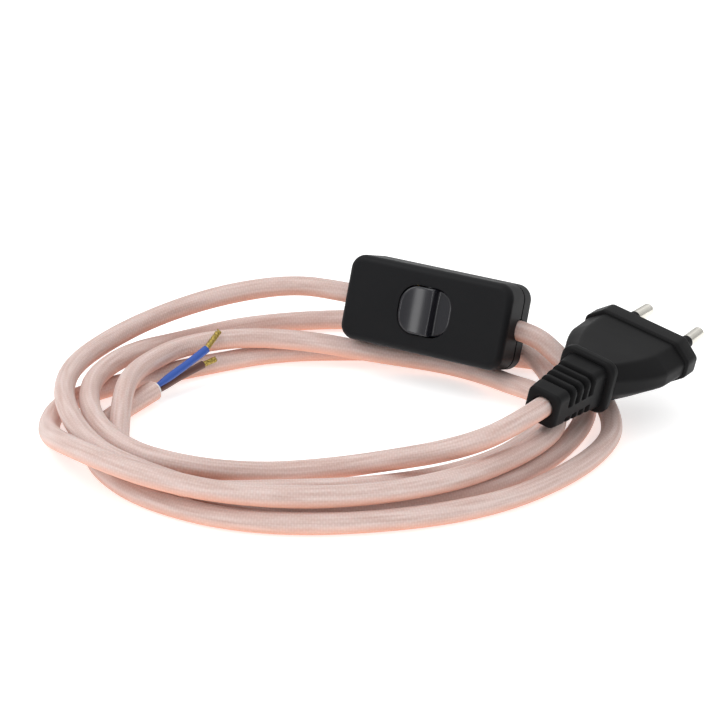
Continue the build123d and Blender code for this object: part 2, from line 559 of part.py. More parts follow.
def make_terminals():
    """Left terminal with the fulcrum, right terminal with the fixed contact, neutral terminal."""
    high = rest_top() - CONTACT_GAP * 4
    low = high - STRIP_THICKNESS
    inner = TERMINAL_X - TERMINAL_LENGTH / 2
    edge = TERMINAL_Y - TERMINAL_SIZE / 2
    left = terminal_block(-inner - TERMINAL_LENGTH, -inner, TERMINAL_Y, [-TERMINAL_X])
    width = SEESAW_WIDTH / 2
    left += box_at(-inner - STRIP_THICKNESS, -inner, edge, edge + width, block_top() - STRIP_THICKNESS, high)
    left += box_at(-inner, SEESAW_SHEET * 2, edge, edge + width, low, high)
    left += box_at(-SEESAW_SHEET * 2, SEESAW_SHEET * 2, -width, edge + width, low, high)
    ridge_top = seesaw_low() - CONTACT_GAP
    ridge = Cylinder(SEESAW_SHEET, 2 * width, rotation=(90, 0, 0))
    left += Pos(0, 0, ridge_top - SEESAW_SHEET) * ridge
    left += box_at(-SEESAW_SHEET, SEESAW_SHEET, -width, width, low, ridge_top - SEESAW_SHEET)
    right = terminal_block(inner, inner + TERMINAL_LENGTH, TERMINAL_Y, [TERMINAL_X])
    right += box_at(inner, inner + STRIP_THICKNESS, edge, edge + width, block_top() - STRIP_THICKNESS, high)
    right += box_at(RIVET_OFFSET - width, inner, edge, edge + width, low, high)
    right += box_at(RIVET_OFFSET - width, RIVET_OFFSET + width, -width, edge + width, low, high)
    right += rod(RIVET_OFFSET, 0, low, rest_top(), RIVET_DIAMETER * 1.2)
    half = NEUTRAL_LENGTH / 2
    neutral = terminal_block(-half, half, -NEUTRAL_Y, [-half / 2, half / 2])
    keep("line_terminal_left", SWITCH_PLACE * left)
    keep("line_terminal_right", SWITCH_PLACE * right)
    keep("neutral_terminal", SWITCH_PLACE * neutral)


def slotted_screw(x, y, seat_z, tip_z, diameter, facing):
    """Screw along Z with its slotted head on one side of its seat."""
    head_z = seat_z + facing * SCREW_HEAD_HEIGHT
    head_low, head_high = sorted((seat_z, head_z))
    shank_low, shank_high = sorted((seat_z, tip_z))
    screw = rod(x, y, shank_low, shank_high, diameter)
    screw += rod(x, y, head_low, head_high, diameter * SCREW_HEAD_RATIO)
    cut_low, cut_high = sorted((head_z - facing * SCREW_HEAD_HEIGHT / 2, head_z + facing))
    return screw - box_at(x - diameter, x + diameter, y - SLOT_WIDTH / 2, y + SLOT_WIDTH / 2, cut_low, cut_high)


def make_fasteners():
    """Clamp bars and every screw of the switch."""
    bars = []
    seat = seat_top()
    for x in (-CLAMP_X, CLAMP_X):
        bar = box_at(x - CLAMP_BAR_WIDTH / 2, x + CLAMP_BAR_WIDTH / 2, -CLAMP_BAR_LENGTH / 2,
                     CLAMP_BAR_LENGTH / 2, seat, seat + CLAMP_BAR_THICKNESS)
        for y in (-CLAMP_SCREW_Y, CLAMP_SCREW_Y):
            bar -= rod(x, y, seat - 1, seat + CLAMP_BAR_THICKNESS + 1, CLAMP_SCREW_DIAMETER + 2 * SCREW_CLEARANCE)
        bars.append(SWITCH_PLACE * bar)
    keep("cord_clamp_left", bars[0])
    keep("cord_clamp_right", bars[1])
    top = seat + CLAMP_BAR_THICKNESS
    clamp = [slotted_screw(x, y, top, FLOOR_Z + 2, CLAMP_SCREW_DIAMETER, 1) for x, y in clamp_screw_spots()]
    keep("clamp_screws", Compound(children=[SWITCH_PLACE * screw for screw in clamp]))
    seat = BACK_Z + SCREW_HEAD_HEIGHT
    tip = CEILING_Z - 2 * SHELL_WALL
    housing = [slotted_screw(x, y, seat, tip, HOUSING_SCREW_DIAMETER, -1) for x, y in housing_screw_spots()]
    keep("housing_screws", Compound(children=[SWITCH_PLACE * screw for screw in housing]))
    half = NEUTRAL_LENGTH / 2
    spots = [(-TERMINAL_X, TERMINAL_Y), (TERMINAL_X, TERMINAL_Y), (-half / 2, -NEUTRAL_Y), (half / 2, -NEUTRAL_Y)]
    wire_top = FLOOR_Z + TERMINAL_FOOT + TERMINAL_SIZE / 2 + COPPER_DIAMETER / 2
    tip = wire_top + CONTACT_GAP
    screws = [slotted_screw(x, y, block_top(), tip, TERMINAL_SCREW_DIAMETER, 1) for x, y in spots]
    keep("terminal_screws", Compound(children=[SWITCH_PLACE * screw for screw in screws]))


def inner_conductor(side, y_start, block_x, y_end):
    """Insulated conductor from the cord's end to a terminal, with bare copper in the hole."""
    x0 = side * (SWITCH_LENGTH / 2 - CORD_INSIDE)
    x1 = side * block_x
    wire_z = FLOOR_Z + TERMINAL_FOOT + TERMINAL_SIZE / 2
    step = CORE_DIAMETER / 2
    points = [Vector(x0, y_start, PARTING_Z), Vector(x0 - side * step, y_start, PARTING_Z),
              Vector(x1 + side * step, y_end, wire_z), Vector(x1, y_end, wire_z)]
    wire = tube(points, CORE_DIAMETER)[0]
    core = Cylinder(COPPER_DIAMETER / 2, TERMINAL_LENGTH / 2 + step, rotation=(0, 90, 0))
    return wire + Pos(x1 - side * (TERMINAL_LENGTH / 4 - step / 2), y_end, wire_z) * core


def make_inner_conductors():
    """The four conductor ends inside the switch."""
    half = CORE_SPACING / 2
    line_x = TERMINAL_X + TERMINAL_LENGTH / 2
    neutral_x = NEUTRAL_LENGTH / 2
    for name, side in (("left", -1), ("right", 1)):
        line = inner_conductor(side, half, line_x, TERMINAL_Y)
        neutral = inner_conductor(side, -half, neutral_x, -NEUTRAL_Y)
        keep("line_conductor_" + name, SWITCH_PLACE * line)
        keep("neutral_conductor_" + name, SWITCH_PLACE * neutral)


def main():
    """Write every node."""
    os.makedirs("parts", exist_ok=True)
    make_plug()
    keep("switch_front_shell", SWITCH_PLACE * front_shell())
    keep("switch_back_shell", SWITCH_PLACE * back_shell())
    make_rocker()
    make_seesaw()
    make_terminals()
    make_fasteners()
    make_inner_conductors()
    make_bare_end(make_cords())


main()
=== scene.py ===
"""Fabric-covered lamp cord with a flat plug, a rocker switch and a bare wire end.

Every length below is in millimetres unless its name says otherwise, and is turned into
metres when a mesh is made. Each sub-assembly is a class that builds its meshes and dresses
them; the finishes are small frozen classes.
"""

from __future__ import annotations

import logging
import math
from dataclasses import dataclass, field
from enum import Enum
from typing import Any, Sequence

import bmesh
import bpy
import numpy as np
from mathutils import Matrix, Vector

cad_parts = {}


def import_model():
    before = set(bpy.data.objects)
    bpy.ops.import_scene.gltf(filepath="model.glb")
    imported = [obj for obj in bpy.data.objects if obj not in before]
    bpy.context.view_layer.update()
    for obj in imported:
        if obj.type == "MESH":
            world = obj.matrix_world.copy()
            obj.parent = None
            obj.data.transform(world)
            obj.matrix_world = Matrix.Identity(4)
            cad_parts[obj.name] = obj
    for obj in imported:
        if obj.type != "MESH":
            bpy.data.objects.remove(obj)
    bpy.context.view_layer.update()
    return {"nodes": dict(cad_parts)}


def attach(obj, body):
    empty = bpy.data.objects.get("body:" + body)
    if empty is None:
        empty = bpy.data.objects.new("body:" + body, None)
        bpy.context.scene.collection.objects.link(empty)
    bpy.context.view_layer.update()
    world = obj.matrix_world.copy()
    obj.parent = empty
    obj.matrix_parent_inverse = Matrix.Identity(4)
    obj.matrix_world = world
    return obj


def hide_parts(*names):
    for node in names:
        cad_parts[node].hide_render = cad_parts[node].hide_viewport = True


MM = 0.001
LOG = logging.getLogger("lamp_cord")
Triple = tuple[float, float, float]
# The plug's own frame: the middle of its mouth, the direction across it and the one out of its top
PLUG_MOUTH: Triple = (44.9, -32.9, 20.4)
PLUG_X: Triple = (0.813, -0.545, -0.204)
PLUG_Z: Triple = (0.186, -0.088, 0.979)
# The switch's own frame: its middle, the direction along the cord and the direction out of its face
SWITCH_MIDDLE: Triple = (17.297, 32.094, 21.882)
SWITCH_X: Triple = (0.8804, -0.4740, -0.0131)
SWITCH_Z: Triple = (-0.4378, -0.8228, 0.3584)
# The rocker's hinge over the switch's middle, and the rocker's tilt at rest in degrees
HINGE_HEIGHT = 6.6
REST_TILT = 12.0


class Body(Enum):
    """Bodies of the frame that a piece can ride on."""

    CORD_SET = "cord_set"
    ROCKER = "rocker"
    SEESAW = "seesaw"


# ---------------------------------------------------------------- shader helpers


class Number:
    """A number socket; arithmetic on it adds Math nodes."""

    def __init__(self, graph: Graph, socket: bpy.types.NodeSocket) -> None:
        """Wrap one socket of a graph.

        Args:
            graph: The graph that holds it.
            socket: The socket.
        """
        self.graph = graph
        self.socket = socket

    def __add__(self, other: Number | float) -> Number:
        """Sum."""
        return self.graph.math("ADD", self, other)

    __radd__ = __add__

    def __mul__(self, other: Number | float) -> Number:
        """Product."""
        return self.graph.math("MULTIPLY", self, other)

    __rmul__ = __mul__

    def __sub__(self, other: Number | float) -> Number:
        """Difference."""
        return self.graph.math("SUBTRACT", self, other)

    def __rsub__(self, other: float) -> Number:
        """Difference from a plain number."""
        return self.graph.math("SUBTRACT", other, self)

    def cosine(self) -> Number:
        """Cosine of the value in radians."""
        return self.graph.math("COSINE", self)

    def sine(self) -> Number:
        """Sine of the value in radians."""
        return self.graph.math("SINE", self)

    def clamped(self) -> Number:
        """The value held between 0 and 1."""
        return self.graph.math("MINIMUM", self.graph.math("MAXIMUM", self, 0.0), 1.0)


class Graph:
    """One material's node tree with a Principled shader."""

    def __init__(self, name: str) -> None:
        """Start an empty material.

        Args:
            name: The material's name.
        """
        self.material = bpy.data.materials.new(name)
        self.material.use_nodes = True
        self.tree = self.material.node_tree
        self.tree.nodes.clear()
        self.shader = self.node("ShaderNodeBsdfPrincipled")
        self.node("ShaderNodeOutputMaterial", inputs={"Surface": self.shader.outputs[0]})

    def node(
        self,
        kind: str,
        settings: dict[str, Any] | None = None,
        inputs: dict[str | int, Any] | None = None,
    ) -> bpy.types.Node:
        """Add a node.

        Args:
            kind: The node's type name.
            settings: Its properties, set before its sockets. "stops" sets a ramp.
            inputs: A value, a socket or a Number for each input, by name or place.

        Returns:
            The new node.
        """
        made = self.tree.nodes.new(kind)
        for key, value in (settings or {}).items():
            if key == "stops":
                for stop, (place, colour) in zip(made.color_ramp.elements, value):
                    stop.position, stop.color = place, colour
            else:
                setattr(made, key, value)
        self.feed(made, inputs or {})
        return made

    def feed(self, node: bpy.types.Node, inputs: dict[str | int, Any]) -> None:
        """Set or link sockets of a node.

        Args:
            node: The node that is fed.
            inputs: A value, a socket or a Number for each input.
        """
        for key, value in inputs.items():
            if isinstance(value, Number):
                self.tree.links.new(value.socket, node.inputs[key])
            elif isinstance(value, bpy.types.NodeSocket):
                self.tree.links.new(value, node.inputs[key])
            else:
                node.inputs[key].default_value = value

    def math(self, operation: str, *terms: Number | float) -> Number:
        """One Math node.

        Args:
            operation: Its operation.
            terms: Its one or two terms.

        Returns:
            The result as a Number.
        """
        made = self.node("ShaderNodeMath", {"operation": operation}, dict(enumerate(terms)))
        return Number(self, made.outputs[0])

    def parts(self, vector: bpy.types.NodeSocket) -> tuple[Number, Number, Number]:
        """The three numbers of a vector."""
        made = self.node("ShaderNodeSeparateXYZ", inputs={0: vector})
        return tuple(Number(self, out) for out in made.outputs)

    def object_place(self) -> bpy.types.NodeSocket:
        """Object coordinates, in metres."""
        return self.node("ShaderNodeTexCoord").outputs["Object"]

    def noise(self, vector: Any, scale: float, detail: float = 2.0, roughness: float = 0.5) -> Number:
        """Noise from 0 to 1.

        Args:
            vector: The coordinates it reads.
            scale: Its scale.
            detail: Its detail.
            roughness: How strong the fine detail is.

        Returns:
            The noise as a Number.
        """
        inputs = {"Vector": vector, "Scale": scale, "Detail": detail, "Roughness": roughness}
        return Number(self, self.node("ShaderNodeTexNoise", inputs=inputs).outputs[0])

    def blend(self, factor: Number, low: Triple, high: Triple) -> bpy.types.NodeSocket:
        """Mix of two colours.

        Args:
            factor: 0 gives low and 1 gives high.
            low: First colour, linear.
            high: Second colour, linear.

        Returns:
            The colour socket.
        """
        inputs = {0: factor, 6: (*low, 1.0), 7: (*high, 1.0)}
        made = self.node("ShaderNodeMix", {"data_type": "RGBA"}, inputs)
        return made.outputs[2]

    def relief(self, height: Number, depth_mm: float, strength: float = 1.0) -> bpy.types.NodeSocket:
        """Normal of a bumped surface.

        Args:
            height: Height from 0 to 1.
            depth_mm: What a height of 1 stands for.
            strength: Strength of the bump.

        Returns:
            The normal socket.
        """
        inputs = {"Strength": strength, "Distance": depth_mm * MM, "Height": height}
        return self.node("ShaderNodeBump", inputs=inputs).outputs[0]


# ---------------------------------------------------------------- finishes


@dataclass(frozen=True)
class WovenCover:
    """Fine braided textile cover, read from a map of length and turn."""

    name: str = "woven_cover"
    thread: Triple = (0.68, 0.545, 0.51)
    # Thread colour darkened for the painted shade in the hollows between stitches
    gap: Triple = (0.47, 0.305, 0.26)
    # Painted shade: warm colour laid on the faces of the cord that turn down
    shade: Triple = (0.74, 0.335, 0.215)
    rib_pitch: float = 0.75
    carriers: int = 24
    depth: float = 0.12

    def make(self) -> bpy.types.Material:
        """Build the material.

        Returns:
            The material.
        """
        graph = Graph(self.name)
        where = graph.node("ShaderNodeUVMap", {"uv_map": TubeSkin.MAP}).outputs[0]
        along, turn, _ = graph.parts(where)
        around = turn * (2 * math.pi)
        rows = (along * (math.pi / self.rib_pitch)).cosine()
        columns = (around * (self.carriers / 2)).cosine()
        stitches = rows * columns * 0.5 + 0.5
        ribs = (along * (2 * math.pi / self.rib_pitch)).cosine() * 0.5 + 0.5
        ring = graph.node(
            "ShaderNodeCombineXYZ",
            inputs={0: along * 0.035, 1: around.cosine() * 1.6, 2: around.sine() * 1.6},
        ).outputs[0]
        streaks = graph.noise(ring, 1.7, 3.0, 0.6)
        fuzz = graph.noise(graph.object_place(), 2600.0, 2.0, 0.6)
        cloud = graph.noise(graph.object_place(), 55.0, 2.0, 0.5)
        weave = stitches * 0.55 + ribs * 0.45
        # Darker toward the stitch hollows as painted shade, plus random tone from the streaks, cloud and
        # fuzz
        light = (weave * 0.34 + streaks * 1.9 + cloud * 0.2 + fuzz * 0.12 - 0.66).clamped()
        height = weave * 0.6 + streaks * 1.1 + fuzz * 0.2
        graph.feed(
            graph.shader,
            {
                # The base colour gets the painted shade on the cord's undersides
                "Base Color": self.painted_underside_shade(graph, graph.blend(light, self.gap, self.thread)),
                "Roughness": 0.5 + streaks * 0.2 - weave * 0.08,
                "Normal": graph.relief(height, self.depth, 0.8),
                "Sheen Weight": 0.12,
                "Sheen Roughness": 0.5,
                "Sheen Tint": (1.0, 0.93, 0.9, 1.0),
                "Specular IOR Level": 0.45,
                "Subsurface Weight": 0.15,
                "Subsurface Radius": (1.0, 0.42, 0.28),
                "Subsurface Scale": 2.2 * MM,
            },
        )
        return graph.material

    def painted_underside_shade(self, graph: Graph, cover: bpy.types.NodeSocket) -> bpy.types.NodeSocket:
        """Painted warm shade where the cord faces down, in place of the shade and warm bounce light on
        its undersides and in the creases.

        Args:
            graph: The material's graph.
            cover: Colour of the cover elsewhere.

        Returns:
            The colour socket.
        """
        facing = graph.parts(graph.node("ShaderNodeNewGeometry").outputs["Normal"])[2]
        # Painted shade mask: strongest on faces that point down, none on faces that point up
        underside_shade_mask = (facing * -0.95 + 0.24).clamped() * 0.9
        inputs = {0: underside_shade_mask, 6: cover, 7: (*self.shade, 1.0)}
        return graph.node("ShaderNodeMix", {"data_type": "RGBA"}, inputs).outputs[2]


@dataclass(frozen=True)
class MouldedPlastic:
    """Moulded plastic or rubber with a fine eroded texture, dull or glossy."""

    name: str
    colour: Triple
    worn: Triple
    roughness: float
    grain_mm: float = 0.28
    grain_depth: float = 0.012
    coat: float = 0.0
    gloss: float = 0.5

    def make(self) -> bpy.types.Material:
        """Build the material.

        Returns:
            The material.
        """
        graph = Graph(self.name)
        place = graph.object_place()
        grain = graph.noise(place, 1.0 / (self.grain_mm * MM), 3.0, 0.6)
        cloud = graph.noise(place, 90.0, 3.0, 0.55)
        graph.feed(
            graph.shader,
            {
                "Base Color": graph.blend((cloud * 0.7 + grain * 0.3).clamped(), self.colour, self.worn),
                "Roughness": self.roughness + (cloud - 0.5) * 0.14 + (grain - 0.5) * 0.1,
                "Normal": graph.relief(grain + cloud * 0.4, self.grain_depth, 0.9),
                "Coat Weight": self.coat,
                "Coat Roughness": 0.1,
                "Specular IOR Level": self.gloss,
            },
        )
        return graph.material


@dataclass(frozen=True)
class TurnedMetal:
    """Plated or plain metal with fine marks and slight tarnish."""

    name: str
    colour: Triple
    tarnish: Triple
    roughness: float
    marks_mm: float = 0.2
    cloud_mm: float = 3.8

    def make(self) -> bpy.types.Material:
        """Build the material.

        Returns:
            The material.
        """
        graph = Graph(self.name)
        place = graph.object_place()
        marks = graph.noise(place, 1.0 / (self.marks_mm * MM), 3.0, 0.6)
        cloud = graph.noise(place, 1.0 / (self.cloud_mm * MM), 2.0, 0.5)
        graph.feed(
            graph.shader,
            {
                "Base Color": graph.blend((cloud * 1.9 - 0.45).clamped(), self.tarnish, self.colour),
                "Metallic": 1.0,
                "Roughness": self.roughness + marks * 0.12 - cloud * 0.04,
                "Normal": graph.relief(marks, 0.004, 0.6),
            },
        )
        return graph.material


@dataclass(frozen=True)
class PaleFloor:
    """Plain white surface that the cord lies on."""

    name: str = "pale_floor"

    def make(self) -> bpy.types.Material:
        """Build the material.

        Returns:
            The material.
        """
        graph = Graph(self.name)
        graph.feed(
            graph.shader,
            {
                "Base Color": (0.74, 0.74, 0.74, 1.0),
                "Roughness": 0.9,
                "Specular IOR Level": 0.1,
                "Emission Color": (1.0, 1.0, 1.0, 1.0),
                "Emission Strength": 0.56,
            },
        )
        return graph.material


class Finish(Enum):
    """Finishes of the object; a material is made once, when it is first used."""

    COVER = WovenCover()
    PLUG = MouldedPlastic(
        "plug_rubber", (0.0045, 0.0045, 0.0050), (0.0075, 0.0075, 0.0078), 0.5, 0.3, 0.016, gloss=0.12
    )
    SWITCH = MouldedPlastic(
        "switch_shell_plastic",
        (0.0055, 0.0058, 0.0068),
        (0.0085, 0.0089, 0.010),
        0.5,
        0.24,
        0.014,
        gloss=0.14,
    )
    ROCKER = MouldedPlastic(
        "rocker_plastic", (0.0025, 0.0025, 0.0032), (0.0038, 0.0038, 0.0046), 0.18, 0.8, 0.003, 0.1, 0.2
    )
    # Near-black finish of the painted shadow band over the shell seam
    SEAM = MouldedPlastic("seam_shadow", (0.0006,) * 3, (0.0009,) * 3, 0.9, gloss=0.0)
    INNER = MouldedPlastic("clamp_plastic", (0.03, 0.03, 0.03), (0.045, 0.045, 0.045), 0.5)
    NICKEL = TurnedMetal("nickel_pin", (0.80, 0.78, 0.72), (0.66, 0.63, 0.56), 0.2)
    STEEL = TurnedMetal("zinc_steel", (0.62, 0.62, 0.62), (0.45, 0.45, 0.46), 0.32)
    BRASS = TurnedMetal("plain_brass", (0.76, 0.56, 0.24), (0.55, 0.38, 0.15), 0.28)
    STRANDS = TurnedMetal("bare_strands", (0.66, 0.50, 0.15), (0.13, 0.09, 0.02), 0.26, 0.08, 0.55)
    SHEATH = MouldedPlastic("inner_sheath", (0.72, 0.71, 0.69), (0.80, 0.79, 0.77), 0.4)
    BLUE = MouldedPlastic(
        "blue_insulation", (0.003, 0.046, 0.19), (0.005, 0.060, 0.235), 0.36, 0.5, 0.006, gloss=0.25
    )
    BROWN = MouldedPlastic(
        "brown_insulation", (0.062, 0.030, 0.026), (0.085, 0.042, 0.036), 0.36, 0.5, 0.006, gloss=0.35
    )

    def material(self) -> bpy.types.Material:
        """The finish's material, or the frame's own one where it holds one of that name.

        The frame holds rocker_plastic, clamp_plastic, blue_insulation and brown_insulation, so
        the plain materials of the frame are what those four pieces show.

        Returns:
            The material.
        """
        return bpy.data.materials.get(self.value.name) or self.value.make()


# ---------------------------------------------------------------- mesh helpers


def frame_of(origin: Triple, x_dir: Triple, z_dir: Triple) -> Matrix:
    """Placement of a local frame in millimetres.

    Args:
        origin: Its origin in the row frame, in millimetres.
        x_dir: Direction of its X.
        z_dir: Direction of its Z.

    Returns:
        The matrix from local millimetres to metres in the row frame.
    """
    x_axis = Vector(x_dir).normalized()
    z_axis = Vector(z_dir)
    z_axis = (z_axis - x_axis * z_axis.dot(x_axis)).normalized()
    turn = Matrix((x_axis, z_axis.cross(x_axis), z_axis)).transposed().to_4x4()
    return Matrix.Translation(Vector(origin) * MM) @ turn @ Matrix.Scale(MM, 4)


def add_object(name: str, data: bpy.types.Mesh | bpy.types.Curve) -> bpy.types.Object:
    """New object of some data, linked to the scene.

    Args:
        name: Its name.
        data: Its mesh or curve.

    Returns:
        The object.
    """
    made = bpy.data.objects.new(name, data)
    bpy.context.scene.collection.objects.link(made)
    return made


def plain_mesh(source: bpy.types.Object) -> bpy.types.Mesh:
    """The evaluated mesh of an object, which is then removed.

    Args:
        source: The object.

    Returns:
        The mesh.
    """
    bpy.context.view_layer.update()
    evaluated = source.evaluated_get(bpy.context.evaluated_depsgraph_get())
    mesh = bpy.data.meshes.new_from_object(evaluated)
    bpy.data.objects.remove(source)
    return mesh


def finish_piece(
    piece: bpy.types.Object, look: Finish, body: Body, replaced: Sequence[str]
) -> None:
    """Dress a piece and tie it to the frame.

    Args:
        piece: The new piece.
        look: Its finish.
        body: The body it rides on.
        replaced: CAD nodes that it stands for, or none for a piece that is only added.
    """
    piece.data.materials.clear()
    piece.data.materials.append(look.material())
    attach(piece, body.value)
    if replaced:
        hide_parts(*replaced)
    faces, stands_for = len(piece.data.polygons), ", ".join(replaced) or "no node"
    LOG.info("piece %s, %d faces, for %s", piece.name, faces, stands_for)


def skin_of_rings(
    name: str, rings: np.ndarray, place: Matrix, sharp_degrees: float = 50.0
) -> bpy.types.Object:
    """Closed skin over a row of rings.

    Args:
        name: The object's name.
        rings: Array of rings, points and coordinates, in local millimetres.
        place: Matrix from local millimetres to metres.
        sharp_degrees: Edges that turn more than this stay sharp.

    Returns:
        The object, at the origin, with its place in its mesh.
    """
    count, sides, _ = rings.shape
    middles = [rings[0].mean(axis=0), rings[-1].mean(axis=0)]
    points = [place @ Vector(p) for p in rings.reshape(-1, 3).tolist()]
    points += [place @ Vector(m.tolist()) for m in middles]
    faces: list[tuple[int, ...]] = []
    for ring in range(count - 1):
        for side in range(sides):
            after = (side + 1) % sides
            low, high = ring * sides, (ring + 1) * sides
            faces.append((low + side, low + after, high + after, high + side))
    first, last = count * sides, count * sides + 1
    top = (count - 1) * sides
    faces += [((side + 1) % sides, side, first) for side in range(sides)]
    faces += [(top + side, top + (side + 1) % sides, last) for side in range(sides)]
    mesh = bpy.data.meshes.new(name)
    mesh.from_pydata(points, [], faces)
    mesh.shade_smooth()
    mesh.set_sharp_from_angle(angle=math.radians(sharp_degrees))
    mesh.update()
    return add_object(name, mesh)


@dataclass
class TubeSkin:
    """Round skin along a smooth path, with a map of its length and turn."""

    MAP = "length_and_turn"

    name: str
    path: np.ndarray
    radius: float
    sides: int = 32
    oval: float = 0.0
    twist_length: float = 90.0
    root_share: float = 1.0
    root_length: float = 7.0

    def frames(self) -> tuple[np.ndarray, np.ndarray, np.ndarray]:
        """Length, side vector and up vector at each point of the path, without twist.

        Returns:
            The three arrays.
        """
        steps = np.diff(self.path, axis=0)
        lengths = np.concatenate([[0.0], np.cumsum(np.linalg.norm(steps, axis=1))])
        tangents = np.gradient(self.path, lengths, axis=0)
        tangents /= np.linalg.norm(tangents, axis=1)[:, None]
        side = np.cross(tangents[0], (0.0, 0.0, 1.0))
        sides = []
        for tangent in tangents:
            side = side - tangent * side.dot(tangent)
            side = side / np.linalg.norm(side)
            sides.append(side)
        sides = np.array(sides)
        return lengths, sides, np.cross(tangents, sides)

    def build(self) -> bpy.types.Object:
        """Make the skin, in the row frame.

        Returns:
            The object.
        """
        lengths, side, up = self.frames()
        turns = np.arange(self.sides) / self.sides
        angle = 2 * math.pi * turns[None, :]
        swing = 2 * math.pi * (lengths / MM / self.twist_length)[:, None]
        along = np.clip(lengths / MM / self.root_length, 0.0, 1.0)[:, None]
        radius = self.radius * (self.root_share + (1.0 - self.root_share) * np.sin(along * math.pi / 2))
        reach = radius * (1.0 - self.oval * (0.5 - 0.5 * np.cos(2 * (angle - swing)))) * MM
        rings = self.path[:, None, :] + reach[..., None] * (
            np.cos(angle)[..., None] * side[:, None, :] + np.sin(angle)[..., None] * up[:, None, :]
        )
        made = skin_of_rings(self.name, rings / MM, Matrix.Scale(MM, 4), 60.0)
        self.map(made.data, lengths / MM, len(lengths))
        return made

    def map(self, mesh: bpy.types.Mesh, lengths: np.ndarray, count: int) -> None:
        """Store length in millimetres and turn from 0 to 1 on every face corner.

        Args:
            mesh: The skin's mesh.
            lengths: Length at each ring.
            count: Number of rings.
        """
        layer = mesh.uv_layers.new(name=self.MAP)
        body = (count - 1) * self.sides
        pairs = np.zeros((len(mesh.loops), 2), np.float32)
        ring, side = np.divmod(np.arange(body), self.sides)
        low, high = lengths[ring], lengths[ring + 1]
        here, there = side / self.sides, (side + 1) / self.sides
        corners = np.stack([low, here, low, there, high, there, high, here], 1)
        pairs[: body * 4] = corners.reshape(-1, 2)
        layer.data.foreach_set("uv", pairs.ravel())


def smooth_route(points: Sequence[Vector], detail: int = 12) -> np.ndarray:
    """Points along the NURBS spline that has the route's points as its control points.

    Args:
        points: The route's points, in metres.
        detail: Steps of the spline for each control point.

    Returns:
        The spline's points in metres.
    """
    curve = bpy.data.curves.new("route", "CURVE")
    curve.dimensions = "3D"
    spline = curve.splines.new("NURBS")
    spline.points.add(len(points) - 1)
    for target, point in zip(spline.points, points):
        target.co = (*point, 1.0)
    spline.order_u = 3
    spline.use_endpoint_u = True
    spline.resolution_u = detail
    mesh = plain_mesh(add_object("route", curve))
    found = np.empty(len(mesh.vertices) * 3)
    mesh.vertices.foreach_get("co", found)
    bpy.data.meshes.remove(mesh)
    return found.reshape(-1, 3)


def rounded_outline(
    corners: Sequence[tuple[float, float]], rounding: float, directions: np.ndarray
) -> np.ndarray:
    """Points of a convex outline with rounded corners, one along each direction.

    Args:
        corners: The outline's corners, counter-clockwise.
        rounding: Radius at the corners.
        directions: Unit vectors from the middle.

    Returns:
        Array of points.
    """
    corner = np.array(corners)
    edge = np.roll(corner, -1, axis=0) - corner
    normal = np.stack([edge[:, 1], -edge[:, 0]], 1) / np.linalg.norm(edge, axis=1)[:, None]
    reach = (normal * corner).sum(1) - rounding
    inner = []
    for index in range(len(corner)):
        pair = np.array([normal[index - 1], normal[index]])
        inner.append(np.linalg.solve(pair, np.array([reach[index - 1], reach[index]])))
    inner = np.array(inner)
    run = np.roll(inner, -1, axis=0) - inner
    low, high = np.zeros(len(directions)), np.full(len(directions), np.abs(corner).max() * 2)
    for _ in range(26):
        middle = (low + high) / 2
        point = directions * middle[:, None]
        offset = point[:, None, :] - inner[None]
        share = np.clip((offset * run[None]).sum(2) / (run * run).sum(1)[None], 0, 1)
        gap = np.linalg.norm(offset - share[..., None] * run[None], axis=2).min(1)
        outside = (point @ normal.T - reach[None]).max(1) > 0
        beyond = outside & (gap > rounding)
        high, low = np.where(beyond, middle, high), np.where(beyond, low, middle)
    return directions * low[:, None]


def even_directions(count: int) -> np.ndarray:
    """Unit vectors all round, half a step off the axes."""
    angle = 2 * math.pi * (np.arange(count) + 0.5) / count
    return np.stack([np.cos(angle), np.sin(angle)], 1)


def box_corners(width: float, height: float) -> list[tuple[float, float]]:
    """Corners of a rectangle about the middle."""
    w, h = width / 2, height / 2
    return [(-w, -h), (w, -h), (w, h), (-w, h)]


def eased(low: float, high: float, value: float) -> float:
    """Smooth step from 0 at low to 1 at high."""
    share = min(max((value - low) / (high - low), 0.0), 1.0)
    return share * share * (3 - 2 * share)


def rounded_in(depth: float, radius: float) -> float:
    """How far a rounded edge has drawn in at a depth from its end."""
    return radius - math.sqrt(max(radius * radius - max(radius - depth, 0.0) ** 2, 0.0))


# ---------------------------------------------------------------- view and light


